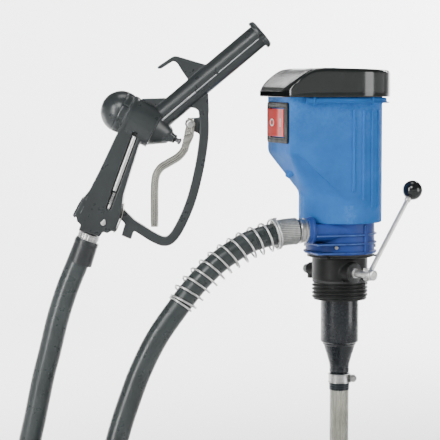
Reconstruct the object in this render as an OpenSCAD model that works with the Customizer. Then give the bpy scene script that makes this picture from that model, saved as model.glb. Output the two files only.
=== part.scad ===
// Electric drum barrel pump with priming lever, two hoses and a dispensing nozzle.
// Origin on the pump axis at the seat of the drum bung, +Z up, switch and outlet face -X.

/* [Motor housing] */
// Radius of the cylindrical part of the motor housing
housing_r = 47.5; // [44:0.5:52]
// Height of the underside of the motor housing above the bung seat
housing_z0 = 68.5; // [66:0.5:70]
// Height of the rim of the motor housing
housing_z1 = 214; // [210:1:218]
// Distance from the axis to the flat front face
front_x = 74.5; // [70:0.5:76]
// Height at which the front box begins
box_z0 = 148; // [144:1:152]
// Wall thickness of the housing
wall = 3; // [2.5:0.5:4]

/* [Cover] */
// Height of the lower edge of the cover
cover_z0 = 211; // [210:0.5:212]
// Height of the top of the cover
cover_z1 = 243.5; // [236:0.5:244]
// How far the cover stands out past the housing
cover_grow = 9; // [8:0.5:10]

/* [Pump head and bung] */
// Radius of the cooling fins on the pump head
fin_r = 42; // [41:0.5:44]
// Radius of the drum bung thread
thread_r = 32; // [30:0.5:34]
// Length of the drum bung thread
thread_len = 20.5; // [18:0.5:24]
// Radius of the adapter collar
collar_r = 31.8; // [31:0.2:32.4]
// Radius of the suction tube
tube_r = 21.8; // [21.4:0.2:22.2]

/* [Priming lever] */
// Direction that the lever shaft points in, seen from above
lever_yaw = -65; // [-68:1:-62]
// Height of the lever shaft
lever_z = 12.2; // [12:0.1:12.4]
// Lean of the lever from upright at rest
lever_lean = 38; // [34:1:42]
// Length of the lever from its shaft to the centre of the ball
lever_len = 117; // [105:1:125]
// Throw of the inner arm that works the priming piston
arm_throw = 12; // [12:0.1:12.2]

/* [Hoses] */
// Outer diameter of the delivery hose
hose_d = 25; // [24:0.5:26]
// Outer diameter of the suction hose
suction_d = 22; // [20:0.5:22]
// Radius of the coil of the delivery hose, at the middle of its turns
coil_r = 127; // [125:1:130]
// Pitch of the stacked turns of the coil
coil_pitch = 25.5; // [25:0.1:26]

/* [Nozzle] */
// Angle of the spout above level
spout_angle = 40; // [39:1:41]
// Length of the spout from the valve axis
spout_len = 160.5; // [150:0.5:170]
// Outer radius of the spout
spout_r = 13; // [12:0.5:13]
// Slope of the valve axis below level
valve_slope = 27; // [27:1:27]
// Thickness of the hand grip
grip_t = 30; // [28:1:32]
// Lean of the swivel axis from upright
swivel_lean = 19; // [19:1:19]

/* [Hidden] */

$fn = 64;
hull_fn = 32;
fit = 0.05;
gland_turn = 33;
floor_z = -360;
hose_r = hose_d / 2;
suction_r = suction_d / 2;

// Cover screws, and the pin that the rocker tips on
cover_screw_at = [[-50, 50.5], [20, 48.5]];
rocker_tilt = 5;
rocker_at = [-front_x - 1.1, 0];
rocker_pin = [2.8 * cos(rocker_tilt), 2.8 * sin(rocker_tilt)];

// Motor inside the housing
motor_inner_r = housing_r - wall;
stator_z = 106;
stator_h = 50;
shaft_r = 4;
rotor_r = 26.5;
bridge_z = 186;
bearing_h = 7;

// Pump head
head_z0 = 33;
head_r = 39.5;
plate_z = 28.6;
plate_t = 2.3;
outlet_y = -26;
outlet_z = 61;
impeller_r = 27;

// Lever and piston
shaft_hole_r = 4.3;
rod_s = 56.8;
arm_rest = 50 - lever_lean;
arm_tip_y = arm_throw * cos(arm_rest) - arm_throw;
arm_tip_z = lever_z + arm_throw * sin(arm_rest);
piston_z = -42;
piston_r = 19.2;

// Nozzle frame: x to the right, y up and z towards the viewer of its flat side
nozzle_at = [-257, -1, 195];
nozzle_yaw = -17;
swivel_at = [-35.6, -132.8];
pivot_at = [75.6, -13.2];
ferrule_len = 8;
cap_r = 23.2;

// Route of the delivery hose from the pump to the coil, and from the coil to the nozzle
upper_route = [[-60, -26, 61], [-76, -26, 60], [-93, -26, 57], [-109, -26, 53],
               [-124, -26, 47], [-153, -26, 29], [-179, -26, 5], [-199, -26, -19],
               [-224, -26, -53], [-243, -26, -89], [-256, -26, -122], [-266, -26, -151],
               [-276, -31, -182], [-286, -46, -210], [-293, -69, -232],
               [-298, -98, -247], [-300, -131, -252]];
lower_route = [[-173, -4, -347.5], [-205, -2, -347.5], [-235, 5, -347.5],
               [-265, 14, -347], [-299, 22, -341], [-330, 27, -323], [-354, 30, -295],
               [-366, 31, -261], [-366, 31, -224], [-361, 30, -196], [-356, 29, -170],
               [-350, 27, -142], [-342, 25, -102], [-334, 22, -69], [-326, 20, -35],
               [-316, 17, -2], [-304, 13, 29], [-294, 10, 54]];
coil_at = [-173, -131];
coil_turns = 3.75;

// Route of the suction hose: down to the floor, then round in an open curl
suction_drop = [[0, 0, -126], [0, 0, -170], [0, 0, -213], [0, 0, -253], [7, 0, -290],
                [28, 0, -321], [59, 0, -342], [96, 0, -349]];
curl_at = [120, -110];
curl_r = 110;
curl_end = -125;
curl_steps = 9;
suction_route = concat(suction_drop,
    [for (i = [0:curl_steps]) let (a = 90 + (curl_end - 90) * i / curl_steps)
        [curl_at[0] + curl_r * cos(a), curl_at[1] + curl_r * sin(a), -349]]);

// Points and outlines
function unit(v) = v / norm(v);
function blend4(a, b, c, d, t) = 0.5 * (2 * b + (c - a) * t
    + (2 * a - 5 * b + 4 * c - d) * t * t + (3 * b - a - 3 * c + d) * t * t * t);
function smooth(p, n) = concat(
    [for (i = [0:len(p) - 2]) for (k = [0:n - 1])
        blend4(p[max(i - 1, 0)], p[i], p[i + 1], p[min(i + 2, len(p) - 1)], k / n)],
    [p[len(p) - 1]]);
function heading(p, i) = unit(p[min(i + 1, len(p) - 1)] - p[max(i - 1, 0)]);
function left_of(p, i, w) = let (h = heading(p, i)) p[i] + w * [-h[1], h[0]];
function band_outline(p, w) = concat(
    [for (i = [0:len(p) - 1]) left_of(p, i, w / 2)],
    [for (i = [len(p) - 1:-1:0]) left_of(p, i, -w / 2)]);
function along(p, u) = let (i = min(floor(u), len(p) - 2)) p[i] + (p[i + 1] - p[i]) * (u - i);

// Frames carried along a route, and the tube swept along it
function carried(n, t) = unit(n - (n * t) * t);
function side_vectors(p, n, i = 0) = i == len(p) ? []
    : let (m = carried(n, heading(p, i))) concat([m], side_vectors(p, m, i + 1));

module tube(p, r, sides, first_side) {
    n = side_vectors(p, first_side);
    points = [for (i = [0:len(p) - 1]) let (b = cross(heading(p, i), n[i]))
        for (k = [0:sides - 1])
            p[i] + r * (cos(360 * k / sides) * n[i] + sin(360 * k / sides) * b)];
    last = (len(p) - 1) * sides;
    walls = [for (i = [0:len(p) - 2]) for (k = [0:sides - 1])
        let (a = i * sides + k, b = i * sides + (k + 1) % sides)
            each [[a, a + sides, b + sides], [a, b + sides, b]]];
    start_cap = [[for (k = [0:sides - 1]) k]];
    end_cap = [[for (k = [sides - 1:-1:0]) last + k]];
    polyhedron(points = points, faces = concat(start_cap, walls, end_cap));
}

module ring(r_out, r_in, h) {
    difference() {
        cylinder(h = h, r = r_out);
        translate([0, 0, -1]) cylinder(h = h + 2, r = r_in);
    }
}

// Plan of the housing: a round back and a flat front with round corners
module plan(grow) {
    corner = 8 + grow;
    side = front_x - 8;
    circle(r = housing_r + grow);
    polygon([[0, housing_r + grow], [-side, 45 + grow], [-side, -45 - grow],
             [0, -housing_r - grow]]);
    for (s = [-1, 1]) translate([-side, s * 37]) circle(r = corner);
    translate([-side - corner, -37]) square([corner, 74]);
}

module on_lever_axis() {
    rotate([0, 0, lever_yaw]) translate([0, -arm_throw, lever_z]) rotate([0, 90, 0]) children();
}

module on_lever_frame() {
    rotate([0, 0, lever_yaw]) children();
}

module on_lever_rod() {
    on_lever_frame() translate([rod_s, -arm_throw, lever_z]) rotate([-lever_lean, 0, 0])
        children();
}

module in_nozzle() {
    translate(nozzle_at) rotate([90, 0, nozzle_yaw]) children();
}

module on_valve_axis() {
    in_nozzle() rotate([0, 0, -valve_slope]) rotate([0, 90, 0]) children();
}

module on_swivel_axis() {
    in_nozzle() translate([swivel_at[0], swivel_at[1], 0]) rotate([0, 0, -swivel_lean])
        rotate([-90, 0, 0]) children();
}

module flat(t) {
    translate([0, 0, -t / 2]) linear_extrude(t) children();
}

// ---------------------------------------------------------------- motor unit

module cover_profile(drop) {
    top = cover_z1 - drop;
    lip = cover_z0 + 10 - drop;
    front = front_x + cover_grow - drop;
    rotate([90, 0, 0]) translate([0, 0, -80]) linear_extrude(160)
        polygon([[-front, cover_z0 - 1], [-front, lip], [-front + 18, lip + 17.5],
                 [-front + 26, top - 2], [-front + 38, top], [62, top - 3],
                 [64, cover_z0 - 1]]);
}

module motor_cover() {
    color([0.09, 0.10, 0.10]) difference() {
        intersection() {
            translate([0, 0, cover_z0]) linear_extrude(cover_z1 - cover_z0) plan(cover_grow);
            cover_profile(0);
        }
        intersection() {
            translate([0, 0, cover_z0 - 1]) linear_extrude(cover_z1 - cover_z0 + 1 - wall)
                plan(cover_grow - 5);
            cover_profile(wall);
        }
    }
}

module at_cover_screws() {
    for (at = cover_screw_at) for (s = [-1, 1]) translate([at[0], s * at[1], 0]) children();
}

module cover_screws() {
    color("silver") at_cover_screws() {
        translate([0, 0, 201.9]) cylinder(h = 2, r = 2.6);
        translate([0, 0, 203]) cylinder(h = cover_z0 - 203 - 0.1, r = 1.2);
    }
}

module slope_block() {
    hull() {
        translate([0, 0, box_z0]) linear_extrude(1) plan(0, $fn = hull_fn);
        intersection() {
            translate([0, 0, 80]) cylinder(h = 40, r = housing_r, $fn = hull_fn);
            translate([0, 0, 91.5]) rotate([0, 14.2, 0])
                translate([-60, -60, 0]) cube([120, 120, 1]);
        }
    }
}

module housing_ribs() {
    for (s = [-1, 1]) for (i = [0:3]) {
        foot = [106, 96.5, 89, 87][i];
        rotate([0, 0, s * (92 - 14.5 * i)]) translate([housing_r, 0, foot])
            cylinder(h = 195 - foot, r = 1.6, $fn = 24);
    }
}

module seat_rail() {
    difference() {
        union() {
            translate([0, 0, 205.2]) linear_extrude(4.8) plan(5);
            translate([0, 0, 203.9]) linear_extrude(1.4) plan(cover_grow - 0.8);
        }
        translate([-100, -70, 200]) cube([42, 140, 12]);
        at_cover_screws() translate([0, 0, 200]) cylinder(h = 14, r = 1.3);
    }
}

module motor_housing() {
    cavity_top = housing_z1 + 1;
    color([0.22, 0.42, 0.72]) difference() {
        union() {
            translate([0, 0, housing_z0]) cylinder(h = housing_z1 - housing_z0, r = housing_r);
            translate([0, 0, box_z0]) linear_extrude(housing_z1 - box_z0) plan(0);
            slope_block();
            housing_ribs();
            seat_rail();
        }
        translate([0, 0, housing_z0 + 4])
            cylinder(h = cavity_top - housing_z0 - 4, r = motor_inner_r);
        translate([-front_x + wall, -40, box_z0 + 4])
            cube([front_x - 20, 80, cavity_top - box_z0 - 4]);
        translate([0, 0, housing_z0 - 1]) cylinder(h = 8, r = 11);
        translate([-front_x - 1, -33, 162]) cube([wall + 2, 66, 40]);
        on_gland_axis() translate([0, 0, housing_r - 6]) cylinder(h = 10, r = 6);
    }
    color([0.22, 0.42, 0.72]) translate([0, 0, housing_z0]) ring(14, 11, 14);
}

module on_gland_axis() {
    rotate([0, 0, gland_turn]) translate([0, 0, 185]) rotate([0, 90, 0]) children();
}

module cable_gland() {
    color([0.10, 0.10, 0.10]) on_gland_axis() {
        translate([0, 0, housing_r - 5]) ring(5.9, 3.5, 8);
        translate([0, 0, housing_r + 0.6]) ring(9, 3.5, 6);
        translate([0, 0, housing_r + 6.5]) ring(7, 3.5, 6);
    }
}

module switch_bezel() {
    color([0.08, 0.08, 0.08]) difference() {
        union() {
            translate([-front_x - 2, -36, 159]) cube([1.9, 72, 46]);
            translate([-front_x - 1, -32.8, 162.2]) cube([7, 65.6, 39.6]);
        }
        translate([-front_x - 6, -23.5, 165.5]) cube([14, 47, 33]);
    }
    color("silver") translate([rocker_at[0] + rocker_pin[0], rocker_pin[1], 164.5])
        cylinder(h = 35, r = 1.55);
}

module switch_rocker() {
    rocker = [[0, 0], [-0.6, -3], [-3, -21.5], [2, -21.5], [5.5, -6], [5.5, 6], [2, 21.5],
              [-3, 21.5], [-0.6, 3]];
    color([0.80, 0.16, 0.14]) translate([rocker_at[0], 0, 166.5]) rotate([0, 0, rocker_tilt])
        difference() {
            linear_extrude(31) polygon(rocker);
            translate([2.8, 0, -1]) cylinder(h = 33, r = 1.6);
        }
}

module switch_body() {
    color([0.15, 0.15, 0.15]) {
        difference() {
            translate([-front_x + 6.1, -30, 163]) cube([22, 60, 38]);
            translate([-front_x + 5, -27, 165]) cube([11, 54, 34]);
        }
    }
    color("gold") for (y = [-15, 0, 15]) translate([-front_x + 28, y - 3, 178])
        cube([8, 6, 1]);
}

module stator_core() {
    color([0.45, 0.46, 0.48]) translate([0, 0, stator_z]) {
        ring(motor_inner_r - fit, 36, stator_h);
        for (a = [0, 180]) rotate([0, 0, a]) intersection() {
            ring(37, rotor_r + 0.7, stator_h);
            translate([0, -18, -1]) cube([40, 36, stator_h + 2]);
        }
    }
}

module field_coils() {
    color([0.72, 0.38, 0.16]) for (z = [stator_z - 8.2, stator_z + stator_h + 0.2])
        translate([0, 0, z]) ring(42, 30, 8);
}

module brush_holders() {
    color([0.78, 0.62, 0.28]) for (s = [-1, 1]) translate([0, s * 12.3, 171]) {
        translate([-3, s > 0 ? 0 : -9, -3]) cube([6, 9, 6]);
        translate([-5, s > 0 ? 9 : -25, -5]) cube([10, 16, 10]);
        translate([-3, s > 0 ? 16 : -22, 4]) cube([6, 6, bridge_z - 175]);
    }
}

module bearing_bridge() {
    color([0.20, 0.20, 0.20]) difference() {
        union() {
            translate([-8, -motor_inner_r + 0.3, bridge_z])
                cube([16, 2 * motor_inner_r - 0.6, 4]);
            translate([0, 0, bridge_z]) cylinder(h = 9, r = 14);
        }
        translate([0, 0, bridge_z - 1]) cylinder(h = 11, r = 9.5);
        difference() {
            translate([0, 0, bridge_z - 1]) cylinder(h = 12, r = 60);
            translate([0, 0, bridge_z - 2]) cylinder(h = 14, r = motor_inner_r - 0.3);
        }
    }
}

module upper_bearing() {
    color("silver") translate([0, 0, bridge_z + 1]) ring(9.5, shaft_r + fit, bearing_h);
}

module lower_bearing() {
    color("silver") translate([0, 0, housing_z0 + 5]) ring(11, shaft_r + fit, bearing_h);
}

module motor_shaft() {
    color([0.75, 0.75, 0.77]) translate([0, 0, 40]) cylinder(h = 156, r = shaft_r);
}

module rotor_core() {
    color([0.40, 0.40, 0.42]) translate([0, 0, stator_z]) ring(rotor_r, shaft_r, stator_h);
}

module commutator() {
    color([0.72, 0.45, 0.20]) translate([0, 0, 166]) ring(12, shaft_r, 14);
}

module cooling_fan() {
    color([0.15, 0.15, 0.15]) translate([0, 0, 86]) {
        ring(7, shaft_r, 9);
        ring(26, 6.5, 1.6);
        for (i = [0:8]) rotate([0, 0, 40 * i]) translate([8, -0.8, 1.5]) cube([18, 1.6, 7]);
    }
}

// ---------------------------------------------------------------- pump head

module outlet_axis() {
    translate([0, outlet_y, outlet_z]) rotate([0, -90, 0]) children();
}

module pump_head() {
    color([0.20, 0.38, 0.70]) {
        difference() {
            union() {
                translate([0, 0, head_z0]) cylinder(h = housing_z0 - 0.1 - head_z0, r = head_r);
                for (z = [34.2, 44.5, 54.5]) translate([0, 0, z]) {
                    cylinder(h = 1.8, r = fin_r);
                    translate([-42.6, 0.8 - fin_r, 0]) cube([40, 22, 1.8]);
                }
                translate([0, 0, head_z0]) cylinder(h = 3, r = fin_r - 1);
                for (a = [-65, 25, 115]) rotate([0, 0, a]) translate([35, -2, head_z0])
                    cube([7, 4, 33]);
                intersection() {
                    outlet_axis() cylinder(h = 43, r = 13);
                    translate([-60, -60, 45]) cube([60, 60, housing_z0 - 45.1]);
                }
                outlet_axis() translate([0, 0, 42.5]) cylinder(h = 8, r = 14.5);
                outlet_axis() translate([0, 0, 44]) cylinder(h = 2, r = 15.6);
            }
            translate([0, 0, housing_z0 - fit]) cylinder(h = 20, r = housing_r + fit);
            translate([0, 0, head_z0 - 1]) cylinder(h = 26, r = 31);
            translate([0, 0, head_z0]) cylinder(h = 40, r = 6);
            outlet_axis() translate([0, 0, 8]) cylinder(h = 60, r = 6.5);
            translate([-12, outlet_y, 52]) cylinder(h = 9, r = 6);
        }
    }
}

module shaft_seal() {
    color([0.12, 0.12, 0.12]) translate([0, 0, 59.5]) ring(5.9, shaft_r + fit, 6);
}

module impeller() {
    color([0.70, 0.62, 0.40]) translate([0, 0, 38]) {
        difference() {
            cylinder(h = 2, r = impeller_r);
            translate([0, 0, -1]) cylinder(h = 4, r = 9);
        }
        for (i = [0:5]) rotate([0, 0, 60 * i]) translate([8.6, -1, 1.9])
            cube([impeller_r - 9, 2, 12.2]);
        translate([0, 0, 14]) ring(impeller_r, shaft_r, 2.5);
    }
}

module head_gasket() {
    color([0.12, 0.12, 0.12]) translate([0, 0, plate_z + plate_t]) ring(37.5, 31.5, 2);
}

module head_screws() {
    color("silver") for (a = [-116:90:154]) rotate([0, 0, a])
        translate([head_r + 0.05, 0, 41.5]) rotate([0, 90, 0]) cylinder(h = 1.6, r = 2.1);
}

module hose_ferrule() {
    color([0.80, 0.80, 0.80]) outlet_axis() {
        difference() {
            union() {
                translate([0, 0, 50.6]) cylinder(h = 9.3, r = 13.4);
                translate([0, 0, 51.5]) cylinder(h = 2, r = 14.2);
                translate([0, 0, 56.5]) cylinder(h = 2.2, r = 14.2);
            }
            translate([0, 0, 40]) cylinder(h = 30, r = 6.5);
        }
    }
}

module spring_sleeve() {
    color([0.55, 0.56, 0.55]) translate([-61.8, outlet_y, outlet_z - 0.3])
        rotate([0, -96, 0]) ring(15.2, hose_r + 0.4, 27);
}

// Kink spring: by turns from the sleeve, how far along the hose, its radius and its sag
spring_path = smooth(upper_route, 6);
spring_turns = 14.4;
spring_wire = 1.2;
spring_steps = 12;
spring_runs = [[0, 23.5], [2, 28.7], [12.9, 161.7], [14.4, 165.9]];
spring_radii = [[0, 17.0], [2, 17.0], [3.2, 16.6], [12.4, 16.6], [13.1, 13.9], [14.4, 13.9]];
spring_sags = [[0, 0], [2, 0], [3.2, 2.2], [9, 1.6], [12, 0.2], [14.4, 0]];
function run_to(p, i) = i == 0 ? 0 : run_to(p, i - 1) + norm(p[i] - p[i - 1]);
spring_marks = [for (i = [0:len(spring_path) - 1]) [run_to(spring_path, i), i]];
function spring_point(k) = let (
        turns = k / spring_steps,
        u = lookup(lookup(turns, spring_runs), spring_marks),
        c = along(spring_path, u),
        t = unit(along(spring_path, u + 0.5) - along(spring_path, u - 0.5)),
        n = cross([0, 1, 0], t),
        a = 360 * turns)
    c - lookup(turns, spring_sags) * n
    + lookup(turns, spring_radii) * (cos(a) * n + sin(a) * [0, 1, 0]);

module kink_spring() {
    color("silver") tube([for (k = [0:floor(spring_turns * spring_steps)]) spring_point(k)],
        spring_wire, 6, [0.1, 0.2, 1]);
}

module delivery_hose_upper() {
    color([0.12, 0.14, 0.14]) tube(upper_route, hose_r, 12, [0, 1, 0]);
}

module delivery_hose_lower() {
    color([0.12, 0.14, 0.14]) tube(lower_route, hose_r, 12, [0, 1, 0]);
}

module delivery_hose_coil() {
    stack = coil_turns * coil_pitch + hose_d;
    color([0.12, 0.14, 0.14]) translate([coil_at[0], coil_at[1], floor_z]) rotate_extrude()
        translate([coil_r - hose_r, 0]) square([hose_d, stack - coil_pitch]);
}

module coil_ties() {
    stack = (coil_turns - 1) * coil_pitch + hose_d;
    gap = 0.3;
    t = 1.6;
    color([0.05, 0.05, 0.05]) translate([coil_at[0], coil_at[1], floor_z])
        for (a = [-90, 30]) rotate([0, 0, a]) difference() {
            translate([coil_r - hose_r - gap - t, -8, 0])
                cube([hose_d + 2 * (gap + t), 16, stack + gap + t]);
            translate([coil_r - hose_r - gap, -9, -1])
                cube([hose_d + 2 * gap, 18, stack + gap + 1]);
        }
}

// ---------------------------------------------------------------- bung adapter and suction

module bung_adapter() {
    color([0.10, 0.10, 0.10]) difference() {
        union() {
            translate([0, 0, plate_z]) cylinder(h = plate_t, r = 37.8);
            translate([0, 0, 2]) cylinder(h = plate_z - 1.9, r = collar_r);
            on_lever_axis() translate([0, 0, 20]) cylinder(h = 14.5, r = 11.5);
            on_lever_axis() translate([0, 0, -36]) cylinder(h = 16, r = 8);
            for (a = [-17, 103, 223]) rotate([0, 0, a]) translate([33, -5, plate_z + 0.2])
                cube([10, 10, plate_t - 0.4]);
        }
        translate([0, 0, 5]) cylinder(h = plate_z - 5.1, r = 26);
        translate([0, 0, 1]) cylinder(h = 5, r = 22);
        translate([0, 0, 20]) cylinder(h = 20, r = 14);
        translate([0, 0, -18]) cylinder(h = 20.05, r = 50);
        on_lever_axis() translate([0, 0, -50]) cylinder(h = 100, r = 6);
    }
}

module shaft_bushes() {
    color([0.78, 0.60, 0.30]) for (s = [26.5, -35.5]) on_lever_axis()
        translate([0, 0, s]) ring(6 - fit, shaft_hole_r + fit, 8);
}

module bung_seal() {
    color([0.10, 0.10, 0.10]) ring(31.5, 22.2, 2);
}

module bung_thread() {
    color([0.11, 0.11, 0.11]) translate([0, 0, -thread_len])
        ring(thread_r, tube_r + 0.2, thread_len - 0.05);
}

module suction_tube() {
    color([0.12, 0.13, 0.14]) rotate_extrude() polygon([[19.3, 7.1], [25.6, 7.1], [25.6, 5.2],
        [tube_r, 5.2], [tube_r, -70], [17.8, -74], [11.5, -95], [11.5, -105], [9, -106],
        [9, -122], [6, -122], [6, -92], [9.5, -92], [9.5, -81], [14.5, -73], [19.3, -64]]);
}

module check_ball() {
    color("silver") translate([0, 0, -87.2]) sphere(r = 7.4);
}

module suction_collar() {
    color([0.08, 0.10, 0.12]) rotate_extrude() polygon([[9.05, -106.1], [11.3, -106.1],
        [11.3, -118.4], [11.8, -119], [11.8, -120.5], [11.2, -121], [11.2, -122],
        [11.8, -122.5], [11.8, -124], [11.2, -124.5], [11.2, -126], [9.05, -126]]);
}

module hose_clamp_band() {
    color([0.78, 0.78, 0.78]) translate([0, 0, -117.5]) {
        ring(12.9, 11.4, 10.5);
        rotate([0, 0, -17]) translate([12.6, -5.5, 3.5]) difference() {
            cube([6, 11, 7.5]);
            translate([3, -1, 3.8]) rotate([-90, 0, 0]) cylinder(h = 13, r = 2.2);
        }
    }
}

module hose_clamp_screw() {
    color("silver") rotate([0, 0, -17]) translate([15.6, -7, -110.2]) rotate([-90, 0, 0]) {
        translate([0, 0, -3.6]) cylinder(h = 5, r = 3.6, $fn = 6);
        cylinder(h = 14, r = 2.1);
    }
}

module suction_hose() {
    color([0.55, 0.56, 0.50]) tube(suction_route, suction_r, 12, [0, 1, 0]);
}

module foot_strainer() {
    end = suction_route[len(suction_route) - 1];
    color([0.10, 0.10, 0.10]) translate([end[0], end[1], floor_z + 12.05])
        rotate([0, 0, curl_end - 90]) rotate([0, 90, 0]) {
            cylinder(h = 14, r = 12);
            difference() {
                translate([0, 0, 13.9]) cylinder(h = 44, r = 12);
                translate([0, 0, 20]) cylinder(h = 36, r = 9.5);
                for (k = [0:3]) for (a = [0:45:135])
                    translate([0, 0, 24 + 8 * k]) rotate([0, 0, a]) rotate([90, 0, 0])
                        cylinder(h = 40, r = 2, center = true, $fn = 16);
            }
        }
}

// ---------------------------------------------------------------- priming lever

module lever_shaft() {
    color([0.80, 0.80, 0.80]) on_lever_axis() difference() {
        union() {
            translate([0, 0, -37]) cylinder(h = 100, r = shaft_hole_r);
            translate([0, 0, 51.5]) cylinder(h = 10.5, r = 5.6);
            translate([0, 0, 61.9]) cylinder(h = 3.6, r = 6.2);
        }
        translate([0, 0, rod_s]) rotate([0, -90, 0]) rotate([-lever_lean, 0, 0])
            cylinder(h = 40, r = 3, center = true);
    }
}

module lever_rod() {
    color([0.82, 0.82, 0.82]) on_lever_rod() translate([0, 0, -8])
        cylinder(h = lever_len + 2, r = 3);
}

module lever_ball() {
    color([0.07, 0.07, 0.07]) on_lever_rod() difference() {
        translate([0, 0, lever_len]) sphere(r = 11.4);
        translate([0, 0, lever_len - 20]) cylinder(h = 14.05, r = 3);
    }
}

module shaft_cap() {
    color([0.30, 0.32, 0.32]) on_lever_axis() {
        translate([0, 0, -41]) cylinder(h = 3.95, r = 5.6);
        intersection() {
            translate([0, 0, -40.5]) sphere(r = 5.6);
            translate([-7, -7, -48]) cube([14, 14, 7.1]);
        }
    }
}

module inner_arm() {
    color([0.70, 0.70, 0.72]) on_lever_frame() translate([0, -arm_throw, lever_z])
        rotate([arm_rest, 0, 0]) {
            translate([4, 0, 0]) rotate([0, 90, 0]) ring(7, shaft_hole_r, 5);
            translate([4, 6, -2.5]) cube([5, arm_throw - 3.5, 5]);
            translate([-4, arm_throw, 0]) rotate([0, 90, 0]) cylinder(h = 9, r = 2);
        }
}

module piston_rod() {
    color([0.75, 0.75, 0.77]) on_lever_frame() {
        difference() {
            translate([-3, -6.4, arm_tip_z - 5.5]) cube([6, 12.8, 11]);
            translate([-4, -4.8, arm_tip_z - 2.4]) cube([8, 9.6, 4.8]);
        }
        translate([0, 0, piston_z]) cylinder(h = arm_tip_z - 5.4 - piston_z, r = 2.8);
    }
}

module priming_piston() {
    color([0.85, 0.85, 0.82]) translate([0, 0, piston_z]) difference() {
        cylinder(h = 5, r = piston_r - 1.2);
        translate([0, 0, -1]) cylinder(h = 7, r = 2.8);
        for (a = [0:60:300]) rotate([0, 0, a]) translate([10, 0, -1])
            cylinder(h = 7, r = 2.5, $fn = 16);
    }
}

module piston_cup() {
    color([0.10, 0.10, 0.10]) translate([0, 0, piston_z]) ring(piston_r, piston_r - 1.2, 5);
}

// ---------------------------------------------------------------- nozzle

grip_outline = [[-5.5, -25.4], [-23.7, -63.7], [-34.7, -85], [-42, -93.8], [-51.9, -113.2],
    [-49.5, -115], [-48.8, -119.2], [-44.9, -123.6], [-47.1, -129], [-24.1, -136.6],
    [-20.5, -131.2], [-15.5, -132.8], [-11.4, -130.3], [-7.5, -130.9], [-1.1, -113.2],
    [0.4, -105.5], [2.2, -90.5], [16, -46.4], [21.6, -28.7], [30, -15], [5, -5]];
belly_outline = [[19, -25], [21.6, -28.7], [55.2, -33.1], [58, -27], [30, -8]];

module barrel_solid() {
    on_valve_axis() {
        translate([0, 0, 6]) cylinder(h = 35, r = 22.4);
        translate([0, 0, 40.9]) cylinder(h = 19, r1 = 20, r2 = 8);
        translate([0, 0, 59]) cylinder(h = 7, r = 5);
    }
}

module handle_solid() {
    barrel_solid();
    in_nozzle() flat(grip_t) polygon(grip_outline);
    in_nozzle() flat(20) polygon(belly_outline);
}

module spout_line(s) {
    in_nozzle() translate([31.6, -16.1, 0]) rotate([0, 0, spout_angle]) rotate([0, 90, 0])
        translate([0, 0, s]) children();
}

module nozzle_handle() {
    color([0.10, 0.11, 0.12]) {
        difference() {
            handle_solid();
            on_valve_axis() translate([0, 0, 5]) cylinder(h = 11, r = 18);
            on_valve_axis() translate([0, 0, 15]) cylinder(h = 22, r = 10);
            on_valve_axis() translate([0, 0, 30]) cylinder(h = 40, r = 2.6);
            spout_line(0) cylinder(h = 30, r = 10);
            on_swivel_axis() translate([0, 0, -10]) cylinder(h = 134, r = 6);
            in_nozzle() translate([-8.8, -89.6, grip_t / 2 - 4.5]) rotate([0, 0, -20.3])
                translate([-3.2, 0, 0]) cube([6.4, 72, 10]);
            in_nozzle() translate([-14.5, -106, grip_t / 2 - 4.5]) rotate([0, 0, -20.3])
                translate([-2.8, 0, 0]) cube([5.6, 22, 10]);
        }
        difference() {
            on_swivel_axis() translate([0, 0, -6.5]) cylinder(h = 8, r = 7.95);
            on_swivel_axis() translate([0, 0, -10]) cylinder(h = 14, r = 6);
        }
    }
}

module valve_cap() {
    color([0.10, 0.11, 0.12]) on_valve_axis() difference() {
        sphere(r = cap_r);
        translate([-30, -30, 5.95]) cube([60, 60, 30]);
        intersection() {
            sphere(r = cap_r - 3);
            translate([0, 0, -17]) cylinder(h = 24, r = 18);
        }
    }
}

module spout() {
    hook = [[91.6, 50.8], [74.8, 33], [61.4, 53.7], [58.5, 57], [41.5, 47.3], [40.2, 48.8],
            [57.8, 60.1]];
    color([0.10, 0.11, 0.12]) difference() {
        union() {
            spout_line(0) cylinder(h = spout_len, r = spout_r);
            spout_line(spout_len - 5) cylinder(h = 5, r = 15.7);
            spout_line(24) cylinder(h = 3, r = spout_r + 0.8);
            in_nozzle() flat(5) polygon(hook);
            in_nozzle() flat(6) polygon([[24.7, 13.1], [47, 13.6], [38, 3], [20, 0]]);
        }
        spout_line(-5) cylinder(h = spout_len + 10, r = 10.3);
        spout_line(spout_len - 6) rotate([0, 0, 193]) translate([12.9, -2.5, 0])
            cube([6, 5, 8]);
        minus_barrel();
    }
}

module minus_barrel() {
    on_valve_axis() {
        translate([0, 0, -30]) cylinder(h = 71.05, r = 22.45);
        translate([0, 0, 40.9]) cylinder(h = 19.1, r1 = 20.1, r2 = 8.1);
        sphere(r = cap_r + 0.1);
    }
    in_nozzle() flat(20.1) polygon(belly_outline);
}

guard_line = smooth([[84, 13], [89, 4], [90.8, -14.4], [89.2, -38.6], [83.4, -70.7],
    [74.8, -101.6], [62.9, -128], [54, -140], [45, -142.4], [32, -136.6], [21, -129.4],
    [11, -123], [1.5, -113.5], [-4, -108]], 3);

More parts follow.
